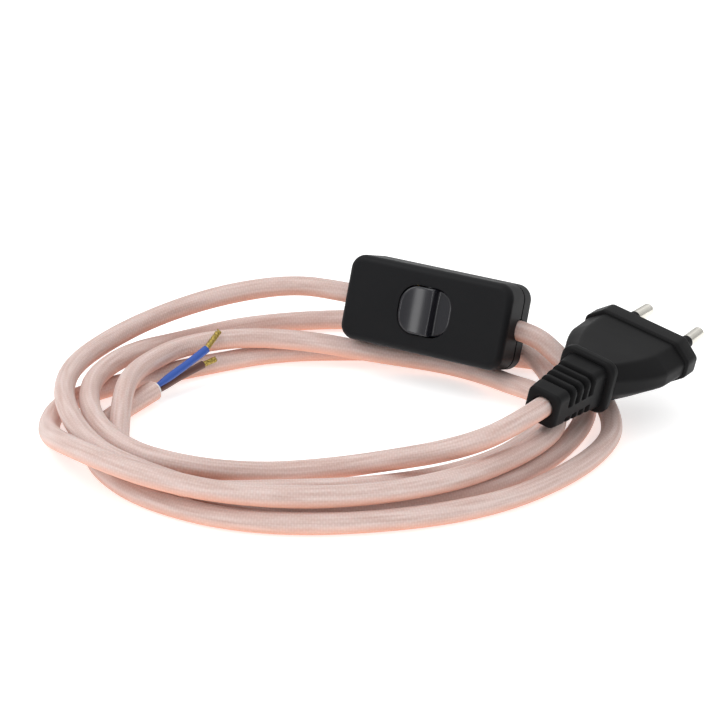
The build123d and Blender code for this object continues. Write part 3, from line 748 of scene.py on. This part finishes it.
@dataclass
class Studio:
    """Camera at the photograph's angle, soft light and a plain white floor."""

    eye: Triple = (-4.842, -669.137, 317.6)
    pitch_degrees: float = 66.0
    lens: float = 125.75
    sensor: float = 36.0
    floor_size: float = 12000.0
    zenith: float = 1.05
    horizon: float = 0.5

    def build(self) -> None:
        """Make the camera, the lights, the sky and the floor."""
        self.camera()
        self.light("key_light", (-520.0, -120.0, 900.0), 600.0, 3.0)
        self.light("back_light", (160.0, 620.0, 620.0), 700.0, 0.3)
        self.light("front_light", (-380.0, -702.0, 276.0), 230.0, 0.62)
        self.world()
        self.floor()
        settings = bpy.context.scene.view_settings
        settings.view_transform = "Standard"
        settings.look = "None"

    def camera(self) -> None:
        """Place the camera."""
        data = bpy.data.cameras.new("photo_camera")
        data.lens = self.lens
        data.sensor_width = self.sensor
        data.sensor_fit = "HORIZONTAL"
        data.clip_start = 0.01
        data.clip_end = 50.0
        camera = bpy.data.objects.new("photo_camera", data)
        camera.location = Vector(self.eye) * MM
        camera.rotation_euler = (math.radians(self.pitch_degrees), 0.0, 0.0)
        bpy.context.scene.collection.objects.link(camera)
        bpy.context.scene.camera = camera

    def light(self, name: str, spot: Triple, size: float, watts: float) -> None:
        """Add one soft lamp that looks at the middle of the coil.

        Args:
            name: Its name.
            spot: Where it stands.
            size: Width of its square.
            watts: Its power.
        """
        data = bpy.data.lights.new(name, "AREA")
        data.size = size * MM
        data.energy = watts
        lamp = bpy.data.objects.new(name, data)
        lamp.location = Vector(spot) * MM
        lamp.rotation_euler = (-lamp.location).to_track_quat("-Z", "Y").to_euler()
        bpy.context.scene.collection.objects.link(lamp)

    def world(self) -> None:
        """White sky, brighter overhead than near the horizon."""
        world = bpy.data.worlds.new("white_sky")
        world.use_nodes = True
        nodes, links = world.node_tree.nodes, world.node_tree.links
        split = nodes.new("ShaderNodeSeparateXYZ")
        links.new(nodes.new("ShaderNodeTexCoord").outputs["Generated"], split.inputs[0])
        rise = nodes.new("ShaderNodeMapRange")
        rise.interpolation_type = "SMOOTHSTEP"
        limits = {"From Min": 0.05, "From Max": 0.85, "To Min": self.horizon, "To Max": self.zenith}
        for name, value in limits.items():
            rise.inputs[name].default_value = value
        links.new(split.outputs[2], rise.inputs["Value"])
        links.new(rise.outputs["Result"], nodes["Background"].inputs["Strength"])
        nodes["Background"].inputs["Color"].default_value = (1.0, 1.0, 1.0, 1.0)
        bpy.context.scene.world = world

    def floor(self) -> None:
        """White floor under the cord."""
        half = self.floor_size / 2 * MM
        mesh = bpy.data.meshes.new("floor")
        corners = box_corners(2 * half, 2 * half)
        mesh.from_pydata([(x, y, 0.0) for x, y in corners], [], [(0, 1, 2, 3)])
        mesh.materials.append(PaleFloor().make())
        add_object("floor", mesh)


# ---------------------------------------------------------------- cords


@dataclass
class FabricCord:
    """One length of covered cord along its route."""

    name: str
    node: str
    length: float
    start: Sequence[Triple]
    route: Sequence[Triple]
    end: Sequence[Triple]
    exit: Triple
    far_end: str
    lay: str
    diameter: float = 6.2
    oval: float = 0.035

    def points(self) -> list[Vector]:
        """Control points in metres; route points give the height of the cord's underside.

        Returns:
            The points.
        """
        lifted = [Vector((x, y, lift + self.diameter / 2)) for x, y, lift in self.route]
        whole = [Vector(p) for p in self.start] + lifted + [Vector(p) for p in self.end]
        return [point * MM for point in whole]

    def build(self, with_pieces: Sequence[bpy.types.Object | str] = ()) -> bpy.types.Object:
        """Args:
            with_pieces: Separate pieces on the cord; not used.

        Returns:
            The cord.
        """
        path = smooth_route(self.points())
        skin = TubeSkin(self.name, path, self.diameter / 2, 32, self.oval)
        cord = skin.build()
        finish_piece(cord, Finish.COVER, Body.CORD_SET, [self.node])
        return cord


def plug_side_cord() -> FabricCord:
    """The long coiled cord from the plug to the switch.

    Returns:
        The cord.
    """
    return FabricCord(
        name="cord_plug_side",
        node="fabric_cord_plug_side",
        length=1508.3,
        start=[(45.73, -31.65, 20.36), (39.22, -41.49, 20.71)],
        route=[
            (29.4, -46.6, 14.4), (17.6, -46.3, 10.4), (3.6, -43.2, 6.3),
            (-12.4, -38.9, 1.6), (-26.4, -38.7, 0.2), (-36.4, -41.1, 1.4), (-47.4, -44.7, 4.2),
            (-57.4, -45.5, 6.5), (-67.3, -40.9, 7.2), (-74.8, -31.0, 6.8), (-80.9, -18.7, 6.7),
            (-84.4, -3.7, 6.6), (-83.9, 12.3, 6.8), (-75.4, 31.3, 5.8), (-60.4, 49.3, 2.0),
            (-43.4, 63.3, 0.5), (-22.4, 70.3, 0.0), (1.6, 69.3, 0.5), (22.6, 58.3, 3.8),
            (38.6, 41.3, 6.8), (48.6, 24.3, 6.3), (53.1, 10.3, 2.8), (50.6, -2.7, 0.0),
            (44.6, -15.7, 0.0), (33.6, -30.2, 0.0), (16.6, -42.2, 0.0), (-6.4, -48.2, 0.0),
            (-30.4, -49.7, 0.0), (-47.4, -50.0, 0.0), (-58.9, -46.7, 0.0), (-67.0, -39.5, 0.0),
            (-72.6, -30.2, 0.0), (-74.4, -19.7, 0.2), (-74.6, -9.7, 3.6), (-74.4, 0.3, 6.8),
            (-73.2, 11.3, 7.0), (-68.9, 22.3, 6.6), (-59.4, 35.3, 6.4), (-41.4, 41.0, 6.8),
            (-20.4, 41.5, 5.2), (0.0, 39.3, 1.9), (19.6, 36.3, 0.2), (31.6, 28.3, 0.2),
            (39.6, 15.3, 2.4), (45.6, 2.3, 6.2), (50.6, -8.7, 6.6), (50.6, -20.7, 6.4),
            (45.6, -31.7, 6.4), (35.6, -43.7, 6.4), (20.6, -55.7, 6.4), (1.6, -63.7, 6.4),
            (-20.4, -66.7, 6.4), (-42.4, -65.2, 7.2), (-60.4, -60.6, 9.2), (-75.9, -51.8, 10.5),
            (-87.3, -39.1, 9.4), (-93.2, -23.1, 4.0), (-95.6, -7.7, 0.5), (-93.9, 5.3, 0.0),
            (-85.9, 15.3, 0.0), (-70.9, 25.3, 0.0), (-54.4, 34.3, 0.0), (-30.4, 45.3, 0.0),
            (-4.4, 46.3, 0.0), (23.6, 43.3, 0.0), (47.6, 40.3, 0.0), (58.6, 31.3, 0.0),
            (62.1, 16.3, 0.0), (61.1, 0.3, 0.0), (56.1, -15.7, 0.0), (46.6, -32.2, 0.0),
            (30.6, -48.2, 0.0), (7.6, -58.7, 0.0), (-20.4, -62.7, 0.0), (-38.4, -59.9, 1.5),
            (-54.4, -55.7, 5.2), (-66.0, -50.7, 7.2), (-76.1, -42.8, 7.8), (-83.1, -31.1, 8.1),
            (-88.5, -16.7, 8.2), (-91.9, -0.7, 8.0), (-90.9, 15.3, 8.4), (-82.4, 30.3, 9.8),
            (-68.5, 44.6, 12.0), (-48.5, 53.5, 15.6), (-26.5, 55.0, 18.6),
        ],
        end=[(-11.01, 49.14, 21.72), (-0.44, 43.46, 21.57)],
        exit=PLUG_MOUTH,
        far_end="object",
        lay="coiled",
    )


def lamp_side_cord() -> FabricCord:
    """The short cord from the switch to the bare end.

    Returns:
        The cord.
    """
    return FabricCord(
        name="cord_lamp_side",
        node="fabric_cord_lamp_side",
        length=290.1,
        start=[(36.53, 23.55, 21.02), (45.87, 18.52, 20.88)],
        route=[
            (53.5, 14.3, 11.9), (60.8, 8.0, 7.2), (65.8, -0.8, 4.8), (67.8, -11.7, 0.9),
            (63.6, -23.4, 0.0), (53.6, -38.3, 0.0), (35.6, -55.5, 0.0), (11.6, -65.6, 0.0),
            (-16.4, -70.0, 0.0), (-42.4, -66.7, 0.0), (-63.4, -54.7, 0.0), (-76.2, -39.7, 0.0),
            (-81.8, -24.7, 0.0), (-81.6, -10.2, 0.0), (-75.4, 2.5, 0.0), (-66.8, 13.7, 1.2),
        ],
        end=[],
        exit=(41.8, 20.7, 20.9),
        far_end="bare",
        lay="loose",
    )


# ---------------------------------------------------------------- bare end


@dataclass
class StrandBundle:
    """Twisted fine strands, made straight by a Geometry Nodes tree and then laid in place."""

    strands: int = 9
    strand_radius: float = 0.25
    bundle_radius: float = 0.68
    turns: float = 2.3
    seed: int = 7

    def tree(self) -> bpy.types.NodeTree:
        """Node tree that winds two layers of strands round Z and joins them.

        Returns:
            The tree.
        """
        tree = bpy.data.node_groups.new("twisted_strands", "GeometryNodeTree")
        face = tree.interface
        face.new_socket(name="Geometry", in_out="INPUT", socket_type="NodeSocketGeometry")
        kinds = {
            "Strands": "Int",
            "Strand Radius": "Float",
            "Bundle Radius": "Float",
            "Length": "Float",
            "Turns": "Float",
            "Seed": "Int",
            "Finish": "Material",
        }
        for name, kind in kinds.items():
            face.new_socket(name=name, in_out="INPUT", socket_type="NodeSocket" + kind)
        face.new_socket(name="Geometry", in_out="OUTPUT", socket_type="NodeSocketGeometry")
        nodes, links = tree.nodes, tree.links
        given = nodes.new("NodeGroupInput").outputs
        join = nodes.new("GeometryNodeJoinGeometry")
        for share, fewer in ((1.0, 1.0), (0.42, 0.4)):
            links.new(self.layer(tree, given, share, fewer), join.inputs[0])
        realize = nodes.new("GeometryNodeRealizeInstances")
        smooth = nodes.new("GeometryNodeSetShadeSmooth")
        paint = nodes.new("GeometryNodeSetMaterial")
        links.new(join.outputs[0], realize.inputs[0])
        links.new(realize.outputs[0], smooth.inputs[0])
        links.new(smooth.outputs[0], paint.inputs[0])
        links.new(given["Finish"], paint.inputs["Material"])
        links.new(paint.outputs[0], nodes.new("NodeGroupOutput").inputs[0])
        return tree

    @staticmethod
    def layer(tree: bpy.types.NodeTree, given: Any, share: float, fewer: float) -> bpy.types.NodeSocket:
        """One layer of strands.

        Args:
            tree: The tree that gets the nodes.
            given: The tree's input sockets.
            share: The layer's radius as a share of the bundle's.
            fewer: Its number of strands as a share of the outer layer's.

        Returns:
            The instances' socket.
        """
        nodes, links = tree.nodes, tree.links

        def maths(operation: str, first: Any, second: Any) -> bpy.types.NodeSocket:
            """Math node of two values or sockets.

            Args:
                operation: Its operation.
                first: First term.
                second: Second term.

            Returns:
                The result's socket.
            """
            made = nodes.new("ShaderNodeMath")
            made.operation = operation
            for place, value in enumerate((first, second)):
                if isinstance(value, bpy.types.NodeSocket):
                    links.new(value, made.inputs[place])
                else:
                    made.inputs[place].default_value = value
            return made.outputs[0]

        spiral = nodes.new("GeometryNodeCurveSpiral")
        spiral.inputs["Resolution"].default_value = 26
        links.new(given["Turns"], spiral.inputs["Rotations"])
        radius = maths("MULTIPLY", given["Bundle Radius"], share)
        links.new(radius, spiral.inputs["Start Radius"])
        links.new(radius, spiral.inputs["End Radius"])
        links.new(given["Length"], spiral.inputs["Height"])
        circle = nodes.new("GeometryNodeCurvePrimitiveCircle")
        circle.inputs["Resolution"].default_value = 8
        links.new(given["Strand Radius"], circle.inputs["Radius"])
        tube = nodes.new("GeometryNodeCurveToMesh")
        tube.inputs["Fill Caps"].default_value = True
        links.new(spiral.outputs[0], tube.inputs["Curve"])
        links.new(circle.outputs[0], tube.inputs["Profile Curve"])
        count = maths("ROUND", maths("MULTIPLY", given["Strands"], fewer), 0.0)
        points = nodes.new("GeometryNodePoints")
        links.new(count, points.inputs["Count"])
        step = maths("DIVIDE", 2 * math.pi, count)
        angle = maths("MULTIPLY", nodes.new("GeometryNodeInputIndex").outputs[0], step)
        turn = nodes.new("ShaderNodeCombineXYZ")
        links.new(angle, turn.inputs[2])
        uneven = nodes.new("FunctionNodeRandomValue")
        uneven.data_type = "FLOAT"
        floats = [s for s in uneven.inputs if s.type == "VALUE" and s.enabled]
        floats[0].default_value, floats[1].default_value = 0.93, 1.0
        links.new(given["Seed"], uneven.inputs["Seed"])
        size = nodes.new("ShaderNodeCombineXYZ")
        size.inputs[0].default_value = size.inputs[1].default_value = 1.0
        links.new(next(s for s in uneven.outputs if s.type == "VALUE" and s.enabled), size.inputs[2])
        spread = nodes.new("GeometryNodeInstanceOnPoints")
        links.new(points.outputs[0], spread.inputs["Points"])
        links.new(tube.outputs[0], spread.inputs["Instance"])
        links.new(turn.outputs[0], spread.inputs["Rotation"])
        links.new(size.outputs[0], spread.inputs["Scale"])
        return spread.outputs[0]

    def build(self, name: str, foot: Vector, tip: Vector) -> bpy.types.Object:
        """Make the bundle between two points.

        Args:
            name: The piece's name.
            foot: Where it leaves the insulation.
            tip: Its cut end.

        Returns:
            The piece.
        """
        carrier = add_object(name + "_maker", bpy.data.meshes.new(name + "_maker"))
        modifier = carrier.modifiers.new("strands", "NODES")
        modifier.node_group = self.tree()
        sizes = {
            "Strands": self.strands,
            "Strand Radius": self.strand_radius,
            "Bundle Radius": self.bundle_radius,
            "Length": (tip - foot).length,
            "Turns": self.turns,
            "Seed": self.seed,
            "Finish": Finish.STRANDS.material(),
        }
        for item in modifier.node_group.interface.items_tree:
            if item.in_out == "INPUT" and item.name in sizes:
                modifier[item.identifier] = sizes[item.name]
        mesh = plain_mesh(carrier)
        mesh.name = name
        turn = (tip - foot).to_track_quat("Z", "Y").to_matrix().to_4x4()
        mesh.transform(Matrix.Translation(foot * MM) @ turn @ Matrix.Scale(MM, 4))
        return add_object(name, mesh)


@dataclass
class BareEnd:
    """Cut end of the lamp cord: two insulated wires and their twisted strands."""

    core_radius: float = 1.2
    blue: Sequence[Triple] = (
        (-65.98, 14.83, 5.2), (-65.0, 15.6, 5.6), (-60.6, 19.8, 7.35),
        (-56.0, 24.1, 9.3), (-51.6, 28.3, 11.4),
    )
    blue_tip: Triple = (-48.2, 36.0, 14.0)
    brown: Sequence[Triple] = (
        (-66.75, 14.35, 3.2), (-65.9, 15.4, 3.35), (-62.0, 20.3, 4.2),
        (-57.8, 24.6, 5.0), (-52.9, 28.9, 6.0),
    )
    brown_tip: Triple = (-49.1, 31.3, 6.8)

    def build(self) -> list[bpy.types.Object]:
        """Make the wires and strands.

        Returns:
            The pieces on the cord's end.
        """
        made = []
        for colour, look, points, tip in (
            ("blue", Finish.BLUE, self.blue, self.blue_tip),
            ("brown", Finish.BROWN, self.brown, self.brown_tip),
        ):
            path = smooth_route([Vector(p) * MM for p in points])
            wire = TubeSkin(colour + "_core", path, self.core_radius, 28, 0.03, 30.0, 0.6).build()
            finish_piece(wire, look, Body.CORD_SET, [colour + "_wire"])
            end = Vector(points[-1])
            back = (end - Vector(points[-2])).normalized()
            strands = StrandBundle().build(colour + "_copper", end - back * 0.8, Vector(tip))
            finish_piece(strands, Finish.STRANDS, Body.CORD_SET, [colour + "_strands"])
            made += [wire, strands]
        return made


# ---------------------------------------------------------------- plug


@dataclass
class PlugBody:
    """Moulded plug: ribbed strain relief, collar, flared body and raised rim."""

    place: Matrix = field(
        default_factory=lambda: frame_of(PLUG_MOUTH, PLUG_X, PLUG_Z)
    )
    sides: int = 176
    relief_length: float = 24.0
    mouth_size: float = 10.4
    relief_size: float = 13.4
    relief_corner: float = 2.2
    relief_step: float = 0.15
    mouth_edge: float = 0.9
    bore: float = 6.5
    bore_edge: float = 0.4
    bore_depth: float = 3.0
    groove_count: int = 4
    groove_start: float = 6.6
    groove_pitch: float = 3.5
    groove_width: float = 2.3
    groove_depth: float = 1.7
    spine_height: float = 3.0
    spine_drop: float = 1.2
    collar: Triple = (17.6, 16.6, 3.4)
    collar_corner: float = 3.6
    collar_edge: float = 1.1
    length: float = 62.0
    body_steps: int = 64
    slot_half_width: float = 6.2
    slot_depth: float = 0.55
    slot_behind: float = 1.2
    root: Triple = (17.0, 12.5, 3.1)
    shoulder: Triple = (32.6, 11.9, 5.2)
    front: Triple = (33.5, 11.9, 5.2)
    face: Triple = (35.3, 13.7, 5.2)
    shoulder_at: float = 45.0
    lip_length: float = 6.8
    face_edge: float = 1.1
    pocket: Triple = (26.1, 8.5, 12.1)
    pocket_corner: float = 2.52

    def __post_init__(self) -> None:
        """Directions of the outline's points, closer together at the sides."""
        angle = -2 * math.pi * (np.arange(self.sides) + 0.5) / self.sides
        directions = np.stack([np.cos(angle), np.sin(angle) * 0.62], 1)
        self.directions = directions / np.linalg.norm(directions, axis=1)[:, None]

    def ring(self, y: float, outline: np.ndarray) -> np.ndarray:
        """Outline in X and Z laid at a place along the axis."""
        return np.stack([outline[:, 0], np.full(len(outline), y), outline[:, 1]], 1)

    def bevelled(self, size: Triple, draw_in: float, rounding: float) -> np.ndarray:
        """Eight-sided outline with level top and bottom.

        Args:
            size: Width, height and bevel.
            draw_in: How far it is drawn in all round.
            rounding: Radius at its corners.

        Returns:
            The outline's points.
        """
        width, height, bevel = size
        w, h = width / 2 - draw_in, height / 2 - draw_in
        rise = h * 0.35
        cut = bevel - draw_in * 0.4
        half = [(w - cut, -h), (w, -rise), (w, rise), (w - cut, h)]
        other = [(-x, -y) for x, y in half]
        return rounded_outline(half + other, rounding, self.directions)

    def relief(self) -> list[np.ndarray]:
        """Rings of the bore, the mouth and the grooved relief.

        Returns:
            The rings, from the bore outwards.
        """
        rings = []
        hole = self.directions * (self.bore / 2)
        rings.append(self.ring(self.bore_depth, hole))
        for y in (self.bore_edge, 0.2, 0.05, 0.0):
            rings.append(self.ring(y, hole * (1 + rounded_in(y, self.bore_edge) / (self.bore / 2))))
        for step in range(int(self.relief_length / self.relief_step) + 1):
            y = step * self.relief_step
            size = self.mouth_size + (self.relief_size - self.mouth_size) * y / self.relief_length
            size -= 2 * rounded_in(y, self.mouth_edge)
            outer = rounded_outline(box_corners(size, size), self.relief_corner, self.directions)
            size -= 2 * self.groove_depth
            inner = rounded_outline(box_corners(size, size), self.relief_corner, self.directions)
            cut = 0.0
            for index in range(self.groove_count):
                away = abs(y - self.groove_start - index * self.groove_pitch) / (self.groove_width / 2)
                cut = max(cut, 1.0 - eased(0.45, 1.15, away))
            height = np.abs(outer[:, 1] + self.spine_drop)
            share = np.clip((height - self.spine_height / 2) / 0.7, 0, 1)
            share = share * share * (3 - 2 * share)
            rings.append(self.ring(y, outer + (inner - outer) * (cut * share)[:, None]))
        return rings

    def collar_rings(self) -> list[np.ndarray]:
        """Rings of the collar, with soft edges.

        Returns:
            The rings.
        """
        width, height, thickness = self.collar
        rings = []
        rise = (0.0, 0.12, 0.35, 0.7, 1.1)
        flat = thickness / 2
        for y in (*rise, flat, *(thickness - y for y in reversed(rise))):
            draw = rounded_in(min(y, thickness - y), self.collar_edge)
            corners = box_corners(width - 2 * draw, height - 2 * draw)
            outline = rounded_outline(corners, self.collar_corner - draw * 0.5, self.directions)
            rings.append(self.ring(self.relief_length + y, outline))
        return rings

    def body_rings(self) -> list[np.ndarray]:
        """Rings of the flared body with the slot behind the collar.

        Returns:
            The rings.
        """
        start = self.relief_length + self.collar[2]
        end = self.length - self.lip_length
        rings = []
        for y in np.linspace(start, end, self.body_steps + 1).tolist():
            flare = min((y - start) / (self.shoulder_at - start), 1.0)
            late = max((y - self.shoulder_at) / (end - self.shoulder_at), 0.0)
            grown = 0.5 * flare + 0.5 * math.sin(flare * math.pi / 2)
            stages = zip(self.root, self.shoulder, self.front)
            size = tuple(r + (s - r) * grown + (f - s) * late for r, s, f in stages)
            outline = self.bevelled(size, 0.0, 1.7 + 0.5 * flare)
            slot = 1.0 - eased(0.25, 0.75, abs(y - start - self.slot_behind))
            beyond = np.abs(outline[:, 0]) - self.slot_half_width
            top = np.clip(1 - beyond / 0.6, 0, 1) * (outline[:, 1] > 0)
            outline[:, 1] -= self.slot_depth * slot * top
            rings.append(self.ring(y, outline))
        return rings

    def rim_rings(self) -> list[np.ndarray]:
        """Rings of the raised rim, the flat face and the pocket for the bridge.

        Returns:
            The rings.
        """
        foot = self.length - self.lip_length
        rings = [self.ring(foot + 0.02, self.bevelled(self.front, -0.12, 2.1))]
        for y, draw in ((0.08, 0.62), (0.2, 0.34), (0.42, 0.12), (0.75, 0.0), (1.3, 0.0), (1.8, 0.0)):
            rings.append(self.ring(foot + y, self.bevelled(self.face, draw, 2.0)))
        for depth in (0.9, 0.6, 0.35, 0.16, 0.04, 0.0):
            outline = self.bevelled(self.face, rounded_in(depth, self.face_edge), 1.9)
            rings.append(self.ring(self.length - depth, outline))
        width, height, depth = self.pocket
        hole = rounded_outline(box_corners(width, height), self.pocket_corner, self.directions)
        for share in (0.35, 0.7, 0.93):
            rings.append(self.ring(self.length, rings[-1][:, (0, 2)] * (1 - share) + hole * share))
        rings += [self.ring(self.length - d, hole) for d in (0.0, 0.3, 4.0, depth)]
        return rings

    def build(self) -> bpy.types.Object:
        """Make the plug's moulding.

        Returns:
            The piece.
        """
        rings = self.relief() + self.collar_rings() + self.body_rings() + self.rim_rings()
        piece = skin_of_rings("plug_moulding", np.array(rings), self.place, 42.0)
        finish_piece(piece, Finish.PLUG, Body.CORD_SET, ["plug_body"])
        return piece


# ---------------------------------------------------------------- rocker


@dataclass
class RockerCap:
    """Glossy rocker: a hollowed raised half, a ridge and a sunk half, with its pins and stem."""

    hinge: Matrix = field(
        default_factory=lambda: frame_of(SWITCH_MIDDLE, SWITCH_X, SWITCH_Z)
        @ Matrix.Translation((0.0, 0.0, HINGE_HEIGHT))
        @ Matrix.Rotation(math.radians(REST_TILT), 4, "Y")
    )
    length: float = 16.8
    width: float = 14.4
    corner: float = 5.7
    low: float = -2.2
    edge: float = 0.55
    ridge_at: float = 1.7
    step_length: float = 1.5
    hollow_at: float = -2.4
    hollow_height: float = 2.8
    hollow_bow: float = 0.026
    sunk_at: float = 5.0
    sunk_height: float = 1.4
    sunk_slope: float = 0.2126
    pin_reach: float = 8.3
    pin_radius: float = 1.2
    stem_low: float = -4.2
    stem_radius: float = 2.5
    bore_radius: float = 1.6
    sides: int = 128
    top_rings: int = 44

    def top(self, x: np.ndarray) -> np.ndarray:
        """Height of the top at a place along the rocker.

        Args:
            x: Place along the rocker.

        Returns:
            Its height.
        """
        raised = self.hollow_height + self.hollow_bow * (x - self.hollow_at) ** 2
        sunk = self.sunk_height + self.sunk_slope * (x - self.sunk_at)
        share = np.clip((x - self.ridge_at) / self.step_length, 0.0, 1.0)
        return raised + (sunk - raised) * share * share * (3 - 2 * share)

    def ring(self, outline: np.ndarray, share: np.ndarray | float, drop: float) -> np.ndarray:
        """Ring on the round ends of the rocker.

        Args:
            outline: Outline at the hinge's height.
            share: Height as a share of the way from the underside to the top.
            drop: How far the ring lies under that height.

        Returns:
            The ring's points.
        """
        reach = self.length / 2
        height = self.low + (self.top(outline[:, 0] * 0.92) - self.low) * share - drop
        narrowed = outline[:, 0] * np.sqrt(1.0 - (height / reach) ** 2)
        return np.stack([narrowed, outline[:, 1], height], 1)

    def cap(self) -> bpy.types.Object:
        """The moulded cap.

        Returns:
            The cap.
        """
        directions = even_directions(self.sides)

        def outline(draw: float) -> np.ndarray:
            """Outline drawn in all round."""
            corners = box_corners(self.length - 2 * draw, self.width - 2 * draw)
            return rounded_outline(corners, self.corner - draw, directions)

        full = outline(0.0)
        rings = [self.ring(full, share, 0.0) for share in (0.0, 0.25, 0.5, 0.75)]
        for share in (1.0, 0.7, 0.42, 0.2, 0.05, 0.0):
            depth = share * self.edge
            rings.append(self.ring(outline(rounded_in(depth, self.edge)), 1.0, depth))
        rim = rings[-1]
        for share in np.linspace(0.0, 1.0, self.top_rings)[1:-1]:
            x, y = rim[:, 0] * (1 - share), rim[:, 1] * (1 - share)
            rings.append(np.stack([x, y, self.top(x)], 1))
        return skin_of_rings("rocker_cap", np.array(rings), self.hinge, 55.0)

    def rod(self, name: str, stations: Sequence[tuple[float, float]], turn: Matrix) -> bpy.types.Object:
        """Round rod along its local Z.

        Args:
            name: Its name.
            stations: Pairs of height and radius.
            turn: Turn from its local frame to the rocker's.

        Returns:
            The rod.
        """
        angle = 2 * math.pi * np.arange(32) / 32
        rings = [np.stack([r * np.cos(angle), r * np.sin(angle), np.full(32, z)], 1) for z, r in stations]
        return skin_of_rings(name, np.array(rings), self.hinge @ turn, 40.0)

    def build(self) -> bpy.types.Object:
        """Make the rocker from its cap, pins and stem.

        Returns:
            The piece.
        """
        across = Matrix.Rotation(math.radians(-90.0), 4, "X")
        reach, radius, bevel = self.pin_reach, self.pin_radius, 0.3
        pins = [(-reach, radius - bevel), (bevel - reach, radius)]
        pins += [(reach - bevel, radius), (reach, radius - bevel)]
        low, wide = self.stem_low, self.stem_radius
        stem = [(low, self.bore_radius), (low, wide), (self.low + 0.2, wide)]
        parts = [self.cap(), self.rod("pins", pins, across), self.rod("stem", stem, Matrix.Identity(4))]
        whole = bmesh.new()
        for part in parts:
            whole.from_mesh(part.data)
            bpy.data.objects.remove(part)
        mesh = bpy.data.meshes.new("rocker_cap")
        whole.to_mesh(mesh)
        whole.free()
        piece = add_object("rocker_moulding", mesh)
        finish_piece(piece, Finish.ROCKER, Body.ROCKER, ["switch_rocker"])
        return piece


@dataclass
class ShellSeamShadow:
    """Near-black band round the joint of the two shells, a painted shadow over the seam's gap."""

    length: float = 54.0
    width: float = 26.0
    corner: float = 4.6
    middle: float = -1.7
    height: float = 0.64
    depth: float = 0.4
    proud: float = 0.02
    sides: int = 200

    def outline(self, draw: float, corner: float) -> np.ndarray:
        """Outline of the shells, drawn in all round.

        Args:
            draw: How far it is drawn in.
            corner: Radius at its corners.

        Returns:
            The outline's points.
        """
        corners = box_corners(self.length - 2 * draw, self.width - 2 * draw)
        return rounded_outline(corners, corner, even_directions(self.sides))

    def build(self) -> bpy.types.Object:
        """Make the painted shadow line as a thin closed band.

        Returns:
            The piece.
        """
        outer = self.outline(-self.proud, self.corner)
        inner = self.outline(self.depth, self.corner - self.depth)
        low, high = self.middle - self.height / 2, self.middle + self.height / 2
        place = frame_of(SWITCH_MIDDLE, SWITCH_X, SWITCH_Z)
        points, faces = [], []
        for loop, z in ((inner, low), (outer, low), (outer, high), (inner, high)):
            points += [place @ Vector((x, y, z)) for x, y in loop.tolist()]
        for loop in range(4):
            here, there = loop * self.sides, (loop + 1) % 4 * self.sides
            for side in range(self.sides):
                after = (side + 1) % self.sides
                faces.append((here + side, here + after, there + after, there + side))
        mesh = bpy.data.meshes.new("switch_seam_shadow")
        mesh.from_pydata(points, [], faces)
        mesh.update()
        piece = add_object("switch_seam_shadow", mesh)
        finish_piece(piece, Finish.SEAM, Body.CORD_SET, [])
        return piece


# ---------------------------------------------------------------- carried nodes


@dataclass(frozen=True)
class CarriedNodes:
    """Nodes of the frame that keep their own shape and get a finish."""

    looks: tuple[tuple[Finish, tuple[str, ...]], ...] = (
        (Finish.PLUG, ("plug_pin_bridge",)),
        (Finish.NICKEL, ("plug_pin_left", "plug_pin_right")),
        (Finish.SWITCH, ("switch_front_shell", "switch_back_shell")),
        (Finish.INNER, ("rocker_plunger", "cord_clamp_left", "cord_clamp_right")),
        (Finish.STEEL, ("rocker_spring", "clamp_screws", "housing_screws", "terminal_screws")),
        (Finish.BRASS, ("plug_crimps", "seesaw_contact")),
        (Finish.BRASS, ("line_terminal_left", "line_terminal_right", "neutral_terminal")),
        (Finish.BROWN, ("plug_conductor_brown", "line_conductor_left", "line_conductor_right")),
        (Finish.BLUE, ("plug_conductor_blue", "neutral_conductor_left", "neutral_conductor_right")),
        (Finish.SHEATH, ("inner_sheath_end",)),
    )

    def dress(self, nodes: dict[str, bpy.types.Object]) -> None:
        """Give every carried node its finish.

        Args:
            nodes: The frame's nodes by name.
        """
        for look, names in self.looks:
            for name in names:
                for slot in nodes[name].material_slots:
                    slot.material = look.material()
                LOG.info("node %s gets %s", name, look.value.name)


def main() -> None:
    """Build the whole scene in order."""
    logging.basicConfig(level=logging.INFO, format="%(message)s")
    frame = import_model()
    Studio().build()
    ends = BareEnd().build()
    lamp_side_cord().build(ends + [frame["nodes"]["inner_sheath_end"]])
    plug_side_cord().build()
    PlugBody().build()
    RockerCap().build()
    ShellSeamShadow().build()
    CarriedNodes().dress(frame["nodes"])


if __name__ == "__main__":
    main()
